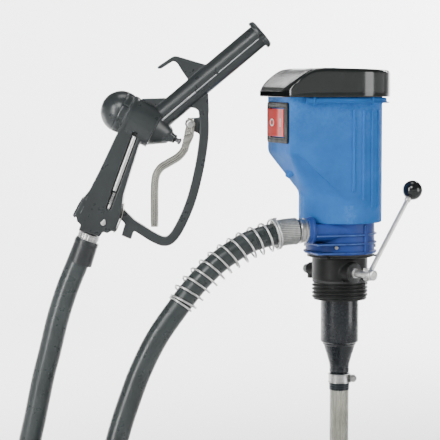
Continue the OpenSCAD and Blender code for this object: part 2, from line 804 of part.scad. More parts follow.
module trigger_guard() {
    stub = [[-0.6, -135.8], [10, -140.2], [14.6, -126.5], [4, -120.5]];
    lug = [[87, -6], [76, -6.5], [70.4, -9], [69.4, -13.2], [71.4, -18], [76, -20],
           [87, -25]];
    web = [[94.6, 20], [95.6, -5], [89.4, -5], [87.5, -1], [84.5, 2.2], [80, 4.6], [74, 4.6]];
    color([0.10, 0.11, 0.12]) difference() {
        union() {
            in_nozzle() flat(12) polygon(band_outline(guard_line, 10.4));
            in_nozzle() flat(12) polygon(web);
            in_nozzle() flat(12) polygon(stub);
            in_nozzle() flat(6) polygon(lug);
        }
        spout_line(20) cylinder(h = 130, r = spout_r + 0.05);
        in_nozzle() flat(60) polygon(grip_outline);
        in_nozzle() translate([pivot_at[0], pivot_at[1], -10]) cylinder(h = 20, r = 2.5);
    }
}

module trigger_pin() {
    color("silver") in_nozzle() translate([pivot_at[0], pivot_at[1], -9])
        cylinder(h = 18, r = 2.5);
}

trigger_line = smooth([[76.4, -7], [74.2, -19], [71.8, -31], [68.8, -41.5], [61.8, -49.7],
    [50.8, -56.3], [42.5, -61.8], [37.6, -70.7], [36.2, -86.1], [36.1, -104],
    [36.1, -123.5]], 3);

module trigger() {
    color([0.72, 0.71, 0.66]) in_nozzle() difference() {
        union() {
            flat(16) polygon(band_outline(trigger_line, 8.6));
            translate([pivot_at[0], pivot_at[1], -8]) cylinder(h = 16, r = 5.4);
            translate([36.1, -123.2, -8]) cylinder(h = 16, r = 4.6);
        }
        translate([60, -27, -3.4]) cube([34, 30, 6.8]);
        translate([pivot_at[0], pivot_at[1], -10]) cylinder(h = 20, r = 2.5 + fit);
    }
}

module valve_stem() {
    color([0.65, 0.65, 0.66]) on_valve_axis() {
        translate([0, 0, 12]) cylinder(h = 4, r = 14);
        translate([0, 0, 15.9]) cylinder(h = 54.6, r = 2.5);
    }
}

module valve_spring() {
    color("silver") on_valve_axis() translate([0, 0, -16.9]) ring(10, 8.4, 22);
}

module latch_rod() {
    color([0.80, 0.80, 0.80]) in_nozzle() translate([-7.6, -86.2, grip_t / 2 - 1.6])
        rotate([0, 0, -20.3]) rotate([-90, 0, 0]) cylinder(h = 64, r = 2.5);
}

module latch_spring() {
    color("silver") in_nozzle() translate([-13.4, -103.2, grip_t / 2 - 2])
        rotate([0, 0, -20.3]) rotate([-90, 0, 0]) {
            ring(2.1, 1.2, 16.6);
            translate([0, 0, -1.9]) cylinder(h = 2, r = 2.6);
        }
    color("silver") in_nozzle() translate([-19.9, -121.4, grip_t / 2 + 0.05])
        cylinder(h = 2, r = 3);
}

module swivel_ferrule() {
    color([0.80, 0.80, 0.78]) on_swivel_axis() translate([0, 0, -ferrule_len - 1.2]) difference() {
        cylinder(h = ferrule_len, r = 11.8);
        translate([0, 0, 2]) cylinder(h = ferrule_len, r = 8);
        translate([0, 0, -1]) cylinder(h = 5, r = 6);
    }
}

module hose_cuff() {
    color([0.10, 0.11, 0.12]) on_swivel_axis() translate([0, 0, -ferrule_len - 1.3 - 27])
        difference() {
            union() {
                cylinder(h = 22, r1 = 13.8, r2 = 13.2);
                translate([0, 0, 21.9]) cylinder(h = 5.1, r = 13.2);
            }
            translate([0, 0, -1]) cylinder(h = 40, r = hose_r + 0.1);
        }
}

motor_cover();
cover_screws();
motor_housing();
cable_gland();
switch_bezel();
switch_body();
stator_core();
field_coils();
brush_holders();
bearing_bridge();
upper_bearing();
lower_bearing();
shaft_seal();
pump_head();
head_screws();
head_gasket();
bung_adapter();
bung_thread();
bung_seal();
shaft_bushes();
suction_tube();
hose_clamp_band();
hose_clamp_screw();
suction_collar();
suction_hose();
foot_strainer();
hose_ferrule();
spring_sleeve();
kink_spring();
delivery_hose_upper();
delivery_hose_coil();
delivery_hose_lower();
coil_ties();
swivel_ferrule();
hose_cuff();
switch_rocker();
motor_shaft();
rotor_core();
commutator();
cooling_fan();
impeller();
lever_shaft();
lever_rod();
lever_ball();
shaft_cap();
inner_arm();
piston_rod();
priming_piston();
piston_cup();
check_ball();
nozzle_handle();
valve_cap();
spout();
trigger_guard();
latch_spring();
valve_spring();
trigger_pin();
latch_rod();
trigger();
valve_stem();
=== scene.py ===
import math
from bisect import bisect_right
from math import cos, pi, radians, sin

import bmesh
import bpy
from mathutils import Matrix, Vector


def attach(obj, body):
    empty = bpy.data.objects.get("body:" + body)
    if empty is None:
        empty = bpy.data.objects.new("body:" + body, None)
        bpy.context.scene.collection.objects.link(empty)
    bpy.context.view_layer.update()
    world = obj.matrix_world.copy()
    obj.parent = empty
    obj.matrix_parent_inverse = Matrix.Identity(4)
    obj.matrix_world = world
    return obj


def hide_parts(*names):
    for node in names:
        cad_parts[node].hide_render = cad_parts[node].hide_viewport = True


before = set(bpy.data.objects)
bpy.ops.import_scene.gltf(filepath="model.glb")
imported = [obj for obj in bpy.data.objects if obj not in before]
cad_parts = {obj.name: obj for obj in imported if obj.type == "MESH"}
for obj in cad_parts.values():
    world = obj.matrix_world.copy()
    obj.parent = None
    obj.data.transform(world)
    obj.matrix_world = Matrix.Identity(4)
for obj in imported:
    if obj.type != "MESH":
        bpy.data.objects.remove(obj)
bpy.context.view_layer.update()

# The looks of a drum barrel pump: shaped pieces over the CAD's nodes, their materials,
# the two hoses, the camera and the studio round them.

# the CAD is in millimetres, the scene in metres
MM = 0.001
TAU = 2 * pi
NO_LENGTH = 1e-6

# ---- points and routes


def mm(*p):
    return Vector(p) * MM


def clamp(v, lo=0, hi=1):
    return max(lo, min(hi, v))


def smoothstep(a, b, v):
    t = clamp((v - a) / (b - a))
    return t * t * (3 - 2 * t)


def mix(a, b, t):
    return a + (b - a) * t


def polar(r, a):
    return r * cos(a), r * sin(a)


def angles(n):
    return [TAU * k / n for k in range(n)]


def level(points, z):
    return [(x, y, z) for x, y in points]


def helix(r, z0, z1, turns, per):
    """A coil spring's line, per points to each turn."""
    n = turns * per
    return [(*polar(r, TAU * k / per), mix(z0, z1, k / n)) for k in range(n + 1)]


def table(rows, at):
    """Straight-line reading between the rows of a small table."""
    for (a, p), (c, q) in zip(rows, rows[1:]):
        if at <= c:
            return mix(p, q, clamp((at - a) / (c - a)))
    return rows[-1][1]


def rot(degrees, axis="Z"):
    return Matrix.Rotation(radians(degrees), 4, axis)


def move(x, y, z):
    return Matrix.Translation(mm(x, y, z))


def catmull(p, n):
    """A smooth curve through the points, n steps to each stretch."""
    out = []
    for i in range(len(p) - 1):
        a, b, c, d = p[max(i - 1, 0)], p[i], p[i + 1], p[min(i + 2, len(p) - 1)]
        for k in range(n):
            t = k / n
            square = (2 * a - 5 * b + 4 * c - d) * t * t
            cube = (3 * b - a - 3 * c + d) * t * t * t
            out.append(0.5 * (2 * b + (c - a) * t + square + cube))
    out.append(p[-1].copy())
    return out


def steps_of(p):
    """Distance run at each point of a line of points."""
    run = [0]
    for a, b in zip(p, p[1:]):
        run.append(run[-1] + (b - a).length)
    return run


def at_length(p, run, s):
    """The point a distance s along a line whose points lie at the distances in run."""
    s = clamp(s, 0, run[-1])
    i = bisect_right(run, s, 1, len(run) - 1) - 1
    return p[i].lerp(p[i + 1], (s - run[i]) / max(run[i + 1] - run[i], NO_LENGTH * MM))


def even(p, step):
    """The same line with its points an even step apart."""
    run = steps_of(p)
    n = max(2, round(run[-1] / step))
    return [at_length(p, run, run[-1] * i / n) for i in range(n + 1)]


def directions(p):
    return [
        (p[min(i + 1, len(p) - 1)] - p[max(i - 1, 0)]).normalized()
        for i in range(len(p))
    ]


def sides_along(p, first):
    """A side vector at each point, carried along the line without twist."""
    out, side = [], Vector(first)
    for t in directions(p):
        side = (side - t * side.dot(t)).normalized()
        out.append(side.copy())
    return out


# ---- frames of the CAD

LEVER_YAW = -65
LEVER_Z = 12.2
ARM_THROW = 12
LEVER_LEAN = 38
LEVER_LEN = 117
KNOB_R = 11.35
ROD_S = 56.8
NOZZLE_AT = (-257, -1, 195)
NOZZLE_YAW = -17
CLAMP_TURN = -17
OUTLET_Y = -26
OUTLET_Z = 61
FLOOR_Z = -360

ON_PUMP = Matrix.Identity(4)
ACROSS = Vector((0, 1, 0))
NOZZLE = move(*NOZZLE_AT) @ rot(NOZZLE_YAW) @ rot(90, "X")
VALVE = NOZZLE @ rot(-27) @ rot(90, "Y")
SWIVEL = NOZZLE @ move(-35.6, -132.8, 0) @ rot(-19) @ rot(-90, "X")
SPOUT = NOZZLE @ move(31.6, -16.1, 0) @ rot(40) @ rot(90, "Y")
OUTLET = move(0, OUTLET_Y, OUTLET_Z) @ rot(-90, "Y")
LEVER_AXIS = rot(LEVER_YAW) @ move(0, -ARM_THROW, LEVER_Z) @ rot(90, "Y")
LEVER_ROD = rot(LEVER_YAW) @ move(ROD_S, -ARM_THROW, LEVER_Z) @ rot(-LEVER_LEAN, "X")


def outward(angle, r, z):
    """A frame on the pump's side whose z axis points away from the drum's axis."""
    return rot(angle) @ move(r, 0, z) @ rot(90, "Y")


# ---- camera and lights

VIEW_AZ = radians(-17)
VIEW_EL = radians(4.4)
VIEW_FAR = 2.1
VIEW_AT = Vector((-0.1314, 0.0402, 0.07))
FRAME_WIDE = 0.504
SENSOR = 36


def shown(name, data):
    """A new object in the scene."""
    obj = bpy.data.objects.new(name, data)
    bpy.context.scene.collection.objects.link(obj)
    return obj


def facing(way):
    """The rotation that points a camera or a lamp along a direction."""
    return way.to_track_quat("-Z", "Y").to_euler()


def add_camera():
    data = bpy.data.cameras.new("camera")
    data.sensor_width = SENSOR
    data.lens = SENSOR * VIEW_FAR / FRAME_WIDE
    cam = shown("camera", data)
    flat = cos(VIEW_EL)
    out = Vector((sin(VIEW_AZ) * flat, -cos(VIEW_AZ) * flat, sin(VIEW_EL)))
    cam.location = VIEW_AT + out * VIEW_FAR
    cam.rotation_euler = facing(-out)
    bpy.context.scene.camera = cam


def add_light(name, at, aim, size, power):
    data = bpy.data.lights.new(name, "AREA")
    data.shape = "RECTANGLE"
    data.size, data.size_y = size
    data.energy = power
    lamp = shown(name, data)
    lamp.location = at
    lamp.rotation_euler = facing(Vector(aim) - Vector(at))


add_camera()

# ---- mesh helpers


def piece_of(name, mesh, body, mat, replaces):
    """A mesh as a named piece that rides on a body."""
    obj = shown(name, mesh)
    mesh.materials.clear()
    mesh.materials.append(mat)
    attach(obj, body)
    if replaces:
        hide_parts(*replaces)
    return obj


def smooth_faces(mesh):
    mesh.polygons.foreach_set("use_smooth", [True] * len(mesh.polygons))


def soften(mesh, angle):
    smooth_faces(mesh)
    mesh.set_sharp_from_angle(angle=radians(angle))


class Build:
    """Gathers solids, given in millimetres in a frame, into one mesh."""

    def __init__(self):
        self.verts = []
        self.faces = []

    def add(self, verts, faces, at=ON_PUMP):
        base = len(self.verts)
        self.verts += [at @ (Vector(v) * MM) for v in verts]
        self.faces += [[base + i for i in f] for f in faces]

    def loft(self, rings, at=ON_PUMP, caps=True, closed=False):
        """Rings of the same count of points, joined one to the next."""
        n = len(rings[0])
        verts = [p for r in rings for p in r]
        faces = []
        count = len(rings) if closed else len(rings) - 1
        for i in range(count):
            a, b = i * n, ((i + 1) % len(rings)) * n
            for k in range(n):
                j = (k + 1) % n
                faces.append([a + k, a + j, b + j, b + k])
        if caps and not closed:
            faces.append(list(range(n))[::-1])
            faces.append([(len(rings) - 1) * n + k for k in range(n)])
        self.add(verts, faces, at)

    def lathe(self, profile, at=ON_PUMP, n=72, shape=None):
        """(r, z) points turned about the frame's z axis. A profile that starts and ends
        on the axis is a solid; any other is closed on itself. shape changes the radius
        with the height and the angle."""
        on_axis = profile[0][0] < NO_LENGTH and profile[-1][0] < NO_LENGTH
        body = profile[1:-1] if on_axis else profile
        shape = shape or (lambda r, z, a: r)
        rings = [[(*polar(shape(r, z, a), a), z) for a in angles(n)] for r, z in body]
        self.loft(rings, at, caps=False, closed=not on_axis)
        if on_axis:
            m = len(self.verts)
            first, last = m - len(body) * n, m - n
            self.verts += [at @ mm(0, 0, profile[0][1]), at @ mm(0, 0, profile[-1][1])]
            for k in range(n):
                j = (k + 1) % n
                self.faces.append([m, first + j, first + k])
                self.faces.append([m + 1, last + k, last + j])

    def prism(self, outline, z0, z1, at=ON_PUMP, edge=0, steps=3):
        """A flat outline given thickness, its rims rounded by edge."""
        levels = [(0, z0), (0, z1)]
        if edge:
            # how far in and how far up each step of the rounding is
            arc = [pi / 2 * i / steps for i in range(steps + 1)]
            arc = [(edge * (1 - sin(a)), edge * (1 - cos(a))) for a in arc]
            levels = [(x, z0 + z) for x, z in arc] + [(z, z1 - x) for x, z in arc]
        self.loft([level(inset_outline(outline, inset), z) for inset, z in levels], at)

    def bar(self, line, radius, at=ON_PUMP, n=16, first=(0.31, 0.27, 0.91), round_ends=False):
        """A round bar along a line of points, in millimetres."""
        pts = [Vector(p) for p in line]
        sides = sides_along(pts, first)
        dirs = directions(pts)
        stations = [(i, 0, radius) for i in range(len(pts))]
        if round_ends:
            dome = [(sin(t), cos(t)) for t in (1.35, 1, 0.6)]
            head = [(0, -radius * u, radius * v) for u, v in dome]
            tail = [(len(pts) - 1, radius * u, radius * v) for u, v in dome[::-1]]
            stations = head + stations + tail
        rings = []
        for i, shift, r in stations:
            b = dirs[i].cross(sides[i])
            c = pts[i] + dirs[i] * shift
            rings.append([c + (sides[i] * cos(a) + b * sin(a)) * r for a in angles(n)])
        self.loft(rings, at)

    def box(self, lo, hi, at=ON_PUMP, edge=0.6, steps=2):
        """A box with every edge rounded."""
        bm = bmesh.new()
        bmesh.ops.create_cube(bm, size=1)
        for v in bm.verts:
            for i in range(3):
                v.co[i] = mix(lo[i], hi[i], v.co[i] + 0.5)
        bmesh.ops.bevel(
            bm, geom=bm.edges[:], offset=edge, segments=steps, profile=0.5, affect="EDGES"
        )
        verts = [tuple(v.co) for v in bm.verts]
        index = {v: i for i, v in enumerate(bm.verts)}
        faces = [[index[v] for v in f.verts] for f in bm.faces]
        bm.free()
        self.add(verts, faces, at)

    def mesh(self, name):
        mesh = bpy.data.meshes.new(name)
        mesh.from_pydata([tuple(v) for v in self.verts], [], self.faces)
        return mesh

    def piece(self, name, body, mat, replaces=(), angle=35):
        mesh = self.mesh(name)
        bm = bmesh.new()
        bm.from_mesh(mesh)
        bmesh.ops.recalc_face_normals(bm, faces=bm.faces)
        bm.to_mesh(mesh)
        bm.free()
        soften(mesh, angle)
        return piece_of(name, mesh, body, mat, replaces)


def turned_piece(name, body, mat, node, angle, profile, at=ON_PUMP, n=72, shape=None):
    """A piece that is one turned solid and stands for one node."""
    b = Build()
    b.lathe(profile, at, n, shape)
    b.piece(name, body, mat, (node,), angle)


def corners(outline):
    """Each point of a closed outline between the ones before and after it."""
    pts = [Vector(p) for p in outline]
    return zip(pts[-1:] + pts[:-1], pts, pts[1:] + pts[:1])


def inset_outline(outline, inset):
    """The outline moved inwards, mitred at its corners."""
    if inset == 0:
        return [tuple(p) for p in outline]
    area = sum(a[0] * b[1] - b[0] * a[1] for a, b in zip(outline, outline[1:] + outline[:1]))
    sign = 1 if area > 0 else -1
    out = []
    for a, b, c in corners(outline):
        u, w = (b - a).normalized(), (c - b).normalized()
        nu, nw = Vector((-u.y, u.x)) * sign, Vector((-w.y, w.x)) * sign
        m = nu + nw
        k = inset * 2 / max(m.length_squared, 0.6)
        out.append(tuple(b + m * k))
    return out


def rounded(a, b, c, radius, steps):
    """Points round the corner b between a and c."""
    u, w = a - b, c - b
    r = min(radius, u.length * 0.45, w.length * 0.45)
    p, q = b + u.normalized() * r, b + w.normalized() * r
    ts = [k / steps for k in range(steps + 1)]
    return [p * (1 - t) ** 2 + b * (2 * t * (1 - t)) + q * t * t for t in ts]


def round_corners(outline, radius, steps=4):
    """The outline with its corners rounded."""
    return [tuple(p) for abc in corners(outline) for p in rounded(*abc, radius, steps)]


def modify(obj, name, kind, **values):
    mod = obj.modifiers.new(name, kind)
    for key, value in values.items():
        setattr(mod, key, value)


def remeshed(name, nodes, body, mat, voxel, rounds, replaces, extra=None):
    """The nodes' own shapes and any extra solids, run together and softened as a casting.
    voxel is the remesh's step in millimetres, rounds the number of smoothing passes."""
    bm = bmesh.new()
    for node in nodes:
        bm.from_mesh(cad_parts[node].data)
    if extra:
        bm.from_mesh(extra.mesh("extra"))
    bmesh.ops.remove_doubles(bm, verts=bm.verts, dist=NO_LENGTH)
    bmesh.ops.recalc_face_normals(bm, faces=bm.faces)
    source = bpy.data.meshes.new(name + "_src")
    bm.to_mesh(source)
    bm.free()
    obj = shown(name + "_src", source)
    modify(obj, "remesh", "REMESH", mode="VOXEL", voxel_size=voxel * MM, adaptivity=0)
    modify(obj, "smooth", "SMOOTH", factor=0.5, iterations=rounds)
    graph = bpy.context.evaluated_depsgraph_get()
    mesh = bpy.data.meshes.new_from_object(obj.evaluated_get(graph))
    mesh.name = name
    bpy.data.objects.remove(obj)
    smooth_faces(mesh)
    piece_of(name, mesh, body, mat, replaces)


# ---- materials


class Nodes:
    """Short calls for building a node tree."""

    SOCKETS = {
        "color": "Base Color", "rough": "Roughness", "metal": "Metallic",
        "coat": "Coat Weight", "coat_rough": "Coat Roughness", "ior": "IOR",
        "through": "Transmission Weight", "sheen": "Sheen Weight",
        "specular": "Specular IOR Level",
    }

    def __init__(self, name):
        self.mat = bpy.data.materials.new(name)
        self.mat.use_nodes = True
        self.tree = self.mat.node_tree
        self.shader = self.tree.nodes["Principled BSDF"]
        self.place = self.new("ShaderNodeTexCoord").outputs["Object"]

    def new(self, kind, inputs=None, **values):
        """A node with its properties set and its inputs linked or filled in."""
        node = self.tree.nodes.new(kind)
        for key, value in values.items():
            setattr(node, key, value)
        for key, value in (inputs or {}).items():
            self.put(node.inputs[key], value)
        return node

    def put(self, socket, value):
        if isinstance(value, bpy.types.NodeSocket):
            self.tree.links.new(value, socket)
        else:
            socket.default_value = value

    def axes(self):
        """The place's x, y and z."""
        return self.new("ShaderNodeSeparateXYZ", {0: self.place}).outputs

    def stretched(self, scale):
        node = self.new("ShaderNodeMapping", {"Vector": self.place, "Scale": scale})
        return node.outputs[0]

    def noise(self, scale, detail=3, rough=0.55, vector=None):
        inputs = {"Vector": vector or self.place, "Scale": scale, "Detail": detail}
        return self.new("ShaderNodeTexNoise", {**inputs, "Roughness": rough}).outputs["Fac"]

    def cells(self, scale, vector=None):
        inputs = {"Vector": vector or self.place, "Scale": scale}
        return self.new("ShaderNodeTexVoronoi", inputs).outputs["Distance"]

    def wave(self, scale, distort):
        """Bands stacked along the z axis."""
        inputs = {"Vector": self.place, "Scale": scale, "Distortion": distort, "Detail": 1}
        node = self.new("ShaderNodeTexWave", inputs, bands_direction="Z")
        return node.outputs["Fac"]

    def ramp(self, fac, lo, hi, a=0, b=1):
        inputs = {"Value": fac, "From Min": lo, "From Max": hi, "To Min": a, "To Max": b}
        return self.new("ShaderNodeMapRange", inputs, clamp=True).outputs[0]

    def times(self, *parts):
        out = parts[0]
        for part in parts[1:]:
            out = self.math("MULTIPLY", out, part)
        return out

    def math(self, op, a, b=0):
        return self.new("ShaderNodeMath", {0: a, 1: b}, operation=op).outputs[0]

    def blend(self, fac, a, b):
        a, b = ((*c, 1) if isinstance(c, tuple) else c for c in (a, b))
        inputs = {"Factor": fac, "A": a, "B": b}
        return self.new("ShaderNodeMix", inputs, data_type="RGBA").outputs["Result"]

    def bumped(self, layers):
        """Bump layers of (height, strength, depth in mm), one over the other."""
        normal = None
        for height, strength, depth in layers:
            inputs = {"Height": height, "Strength": strength, "Distance": depth * MM}
            if normal:
                inputs["Normal"] = normal
            normal = self.new("ShaderNodeBump", inputs).outputs[0]
        self.put(self.shader.inputs["Normal"], normal)
        return self.mat

    def set(self, **values):
        """Values or node outputs for the shader, by the short names above."""
        for key, value in values.items():
            self.put(self.shader.inputs[self.SOCKETS[key]], value)

    def edges(self, lo=0.52, hi=0.6):
        """Where the surface is convex, for edge wear and painted edge highlights; with lo above hi,
        where it is concave, for painted corner shade.
        """
        return self.ramp(self.new("ShaderNodeNewGeometry").outputs["Pointiness"], lo, hi)


def tinted(color, k):
    return tuple(clamp(c * k) for c in color)


def plastic(
    name, color, rough, grain=1400, depth=0.05, vary=0.25, coat=0, edge_color=None, gloss=0.35
):
    """Moulded plastic: fine grain, cloudy patches and a few scuffs."""
    m = Nodes(name)
    cloud = m.noise(38, 4, 0.6)
    fine = m.noise(grain, 2, 0.6)
    scuff = m.noise(170, 6, 0.72, m.stretched((1, 1, 5)))
    base = m.blend(m.ramp(cloud, 0.3, 0.7), tinted(color, 1 - vary), tinted(color, 1 + vary))
    base = m.blend(m.ramp(scuff, 0.63, 0.72, 0, 0.35), base, tinted(color, 2.2))
    if edge_color:
        base = m.blend(m.times(m.edges(), 0.6), base, edge_color)
    m.set(color=base, coat=coat, coat_rough=0.08, specular=gloss)
    m.set(rough=m.ramp(m.noise(90, 5, 0.65), 0.3, 0.7, rough * 0.82, rough * 1.25))
    return m.bumped([(fine, 0.5, depth), (m.noise(220, 2), 0.15, depth)])


def painted(name, color, rough, edge_color, cast=0.12, gloss=0.28, wear_and_highlight=0.55, corner_shade=0):
    """Enamel over a casting: soft pebbling, slight fading, paler edges that are partly wear and
    partly painted highlight, painted shade in corners.
    """
    m = Nodes(name)
    cloud = m.noise(26, 4, 0.6)
    pebble = m.noise(420, 3, 0.55)
    speck = m.cells(900)
    base = m.blend(m.ramp(cloud, 0.3, 0.7), tinted(color, 0.86), tinted(color, 1.12))
    base = m.blend(m.ramp(speck, 0.05, 0.11, 0.12, 0), base, tinted(color, 0.55))
    # paler convex edges in patches: partly paint wear, partly painted highlight
    patches = m.ramp(m.noise(240, 5, 0.7), 0.4, 0.58, min(1, wear_and_highlight * wear_and_highlight), 1)
    wear_and_highlight_mask = m.times(m.edges(0.53, 0.6), patches, wear_and_highlight)
    base = m.blend(wear_and_highlight_mask, base, edge_color)
    # painted shade: concave corners and fin roots darkened
    if corner_shade:
        base = m.blend(m.times(m.edges(0.495, 0.44), corner_shade), base, tinted(color, 0.22))
    m.set(color=base, specular=gloss)
    m.set(rough=m.ramp(m.noise(70, 5, 0.6), 0.3, 0.7, rough * 0.85, rough * 1.2))
    return m.bumped([(pebble, 0.35, cast), (m.noise(1500, 2), 0.12, 0.04)])


def metal(name, color, rough, brush=(1, 1, 1), scratch=0.35, depth=0.02, bare=1):
    """Bare metal with brushing along one way, faint stains and scratches."""
    m = Nodes(name)
    lines = m.noise(650, 4, 0.7, m.stretched(brush))
    stain = m.noise(55, 5, 0.65)
    base = m.blend(m.ramp(stain, 0.35, 0.7), color, tinted(color, 0.72))
    base = m.blend(m.ramp(lines, 0.4, 0.7, 0, 0.25), base, tinted(color, 0.6))
    m.set(color=base, metal=bare)
    m.set(rough=m.ramp(lines, 0.3, 0.75, rough * 0.7, rough * (1 + scratch * 2)))
    return m.bumped([(lines, 0.35, depth), (m.noise(2200, 2), 0.1, depth)])


def rubber(name, color, rough, dust=0.25):
    """Black rubber or cord-covered hose: fine cloth print, bloom and dust."""
    m = Nodes(name)
    cloth = m.cells(1300, m.stretched((1, 1, 0.6)))
    bloom = m.noise(24, 5, 0.6)
    dusty = m.noise(420, 6, 0.75)
    base = m.blend(m.ramp(bloom, 0.35, 0.7), color, tinted(color, 1.7))
    base = m.blend(m.ramp(dusty, 0.58, 0.7, 0, dust), base, (0.1, 0.105, 0.1))
    m.set(color=base, sheen=0.06)
    m.set(rough=m.ramp(m.noise(60, 4, 0.6), 0.3, 0.7, rough * 0.8, rough * 1.2))
    return m.bumped([(cloth, 0.3, 0.08), (m.noise(160, 3), 0.2, 0.1)])


M_LIP = plastic("cover_lip", (0.006, 0.007, 0.007), 0.6, 900, 0.02, 0.2, gloss=0)
M_COVER = plastic("cover_gloss", (0.01, 0.013, 0.012), 0.13, 500, 0.012, 0.2, gloss=0.5)
M_BALL = plastic("ball_gloss", (0.008, 0.009, 0.009), 0.1, 500, 0.01, 0.2, gloss=0.55)
M_BLACK = plastic(
    "black_plastic", (0.0085, 0.0095, 0.0088), 0.42, edge_color=(0.12, 0.125, 0.12), gloss=0.2
)
M_TUBE = plastic("tube_plastic", (0.01, 0.0125, 0.0155), 0.26, 900, 0.03, coat=0.15)
M_BEZEL = plastic("bezel_plastic", (0.009, 0.009, 0.01), 0.5, 1200, 0.06, gloss=0.12)
M_RED = plastic("rocker_red", (0.5, 0.018, 0.012), 0.34, 900, 0.02, 0.12, gloss=0.2)
M_MARK = plastic("rocker_mark", (0.75, 0.72, 0.68), 0.4, 900, 0.02, 0.06)
M_BLUE = painted(
    "housing_blue", (0.034, 0.144, 0.435), 0.56, (0.11, 0.31, 0.68), gloss=0.03, wear_and_highlight=0.2
)
# head paint: its pale fin edges are painted highlights, its darkened hollows painted shade between
# the fins
M_HEAD = painted(
    "head_blue", (0.024, 0.06, 0.25), 0.45, (0.22, 0.4, 0.74), 0.18, 0.16, 0.9, 0.8
)
# nozzle paint: its pale edges are mostly painted highlight, partly wear
M_IRON = painted(
    "nozzle_black", (0.024, 0.029, 0.03), 0.3, (0.42, 0.44, 0.45), 0.08, 0.5, 0.4
)
M_STEEL = metal("steel", (0.56, 0.56, 0.55), 0.28, (1, 1, 8))
M_ALU = metal("aluminium", (0.66, 0.66, 0.65), 0.3, (6, 1, 1))
M_NICKEL = metal("nickel", (0.47, 0.465, 0.42), 0.19, (1, 1, 5))
M_WIRE = metal("spring_wire", (0.8, 0.8, 0.79), 0.3, (1, 1, 1), bare=0.85)
M_CORE = metal("core_steel", (0.24, 0.24, 0.25), 0.45, (1, 1, 12))
M_BRASS = metal("brass", (0.6, 0.43, 0.17), 0.3, (1, 1, 4))
M_CAP = painted("cap_grey", (0.2, 0.225, 0.21), 0.4, (0.25, 0.27, 0.26), 0.06)
M_RUBBER = rubber("seal_rubber", (0.012, 0.012, 0.013), 0.55)
M_HOSE = rubber("hose_rubber", (0.024, 0.03, 0.03), 0.3, dust=0.16)
M_COLLAR = plastic("collar_plastic", (0.01, 0.016, 0.02), 0.3, 900, 0.03)
M_PTFE = plastic("ptfe", (0.62, 0.62, 0.58), 0.5, 1000, 0.03, 0.08)


def hose_film():
    """Clear grey suction hose with long darker streaks in its wall."""
    m = Nodes("suction_hose")
    cloud = m.noise(60, 5, 0.65)
    streak = m.noise(260, 4, 0.7, m.stretched((1, 1, 0.06)))
    base = m.blend(m.ramp(cloud, 0.3, 0.7), (0.25, 0.255, 0.205), (0.42, 0.42, 0.36))
    base = m.blend(m.ramp(streak, 0.45, 0.65, 0, 0.6), base, (0.115, 0.12, 0.095))
    m.set(color=base, through=0.35, ior=1.42, coat=0.3, coat_rough=0.12)
    m.set(rough=m.ramp(streak, 0.35, 0.7, 0.22, 0.42))
    return m.bumped([(streak, 0.25, 0.15), (m.noise(900, 2), 0.12, 0.05)])


def knurled():
    """Braided sleeve: crossed fine ridges round the outlet's axis."""
    m = Nodes("braid_sleeve")
    axes = m.axes()
    y = m.math("SUBTRACT", axes["Y"], OUTLET_Y * MM)
    z = m.math("SUBTRACT", axes["Z"], (OUTLET_Z - 1) * MM)
    a = m.times(m.math("ARCTAN2", z, y), 22)
    x = m.times(axes["X"], 2200)
    one = m.math("SINE", m.math("ADD", x, a))
    two = m.math("SINE", m.math("SUBTRACT", x, a))
    cross = m.times(one, two)
    base = m.blend(m.ramp(cross, -0.6, 0.6), (0.13, 0.135, 0.13), (0.5, 0.51, 0.49))
    base = m.blend(m.ramp(m.noise(220, 5, 0.7), 0.5, 0.66, 0, 0.4), base, (0.2, 0.21, 0.2))
    m.set(color=base, metal=0.55, rough=m.ramp(cross, -1, 1, 0.5, 0.32))
    return m.bumped([(cross, 0.8, 0.35), (m.noise(1200, 2), 0.15, 0.05)])


M_FILM = hose_film()
M_SLEEVE = knurled()

# ---- hoses

HOSE_R = 12.5
SUCTION_R = 11
UPPER = [
    (-60, -26, 61), (-76, -26, 60), (-93, -26, 57), (-109, -26, 53), (-124, -26, 47),
    (-153, -26, 29), (-179, -26, 5), (-199, -26, -19), (-224, -26, -53), (-243, -26, -89),
    (-256, -26, -122), (-266, -26, -151), (-276, -31, -182), (-286, -46, -210), (-293, -69, -232),
    (-298, -98, -247), (-300, -131, -252),
]
LOWER = [
    (-173, -4, -347.5), (-205, -2, -347.5), (-235, 5, -347.5), (-265, 14, -347), (-299, 22, -341),
    (-330, 27, -323), (-354, 30, -295), (-366, 31, -261), (-366, 31, -224), (-361, 30, -196),
    (-356, 29, -170), (-350, 27, -142), (-342, 25, -102), (-334, 22, -69), (-326, 20, -35),
    (-316, 17, -2), (-304, 13, 29), (-294, 10, 54),
]
COIL_AT = (-173, -131)
COIL_R = 127
COIL_TURNS = 3.75
COIL_PITCH = 25.5
COIL_TOP = -252
CURL_AT = (120, -110)
CURL_R = 110
CURL_END = -125
SUCTION_DROP = [
    (0, 0, -126), (0, 0, -170), (0, 0, -213), (0, 0, -253), (7, 0, -290), (28, 0, -321),
    (59, 0, -342), (96, 0, -349),
]


def coil_points():
    """Down the stack of turns, from the upper run to the lower one."""
    steps = round(COIL_TURNS * 24)
    drop = (COIL_TOP - (FLOOR_Z + HOSE_R)) / COIL_TURNS
    points = []
    for i in range(1, steps):
        turn = COIL_TURNS * i / steps
        x, y = polar(COIL_R, pi + TAU * turn)
        points.append(mm(COIL_AT[0] + x, COIL_AT[1] + y, COIL_TOP - drop * turn))
    return points


def curl_points():
    """Round on the floor to the strainer."""
    points = []
    for i in range(10):
        x, y = polar(CURL_R, radians(mix(90, CURL_END, i / 9)))
        points.append(mm(CURL_AT[0] + x, CURL_AT[1] + y, -349))
    return points


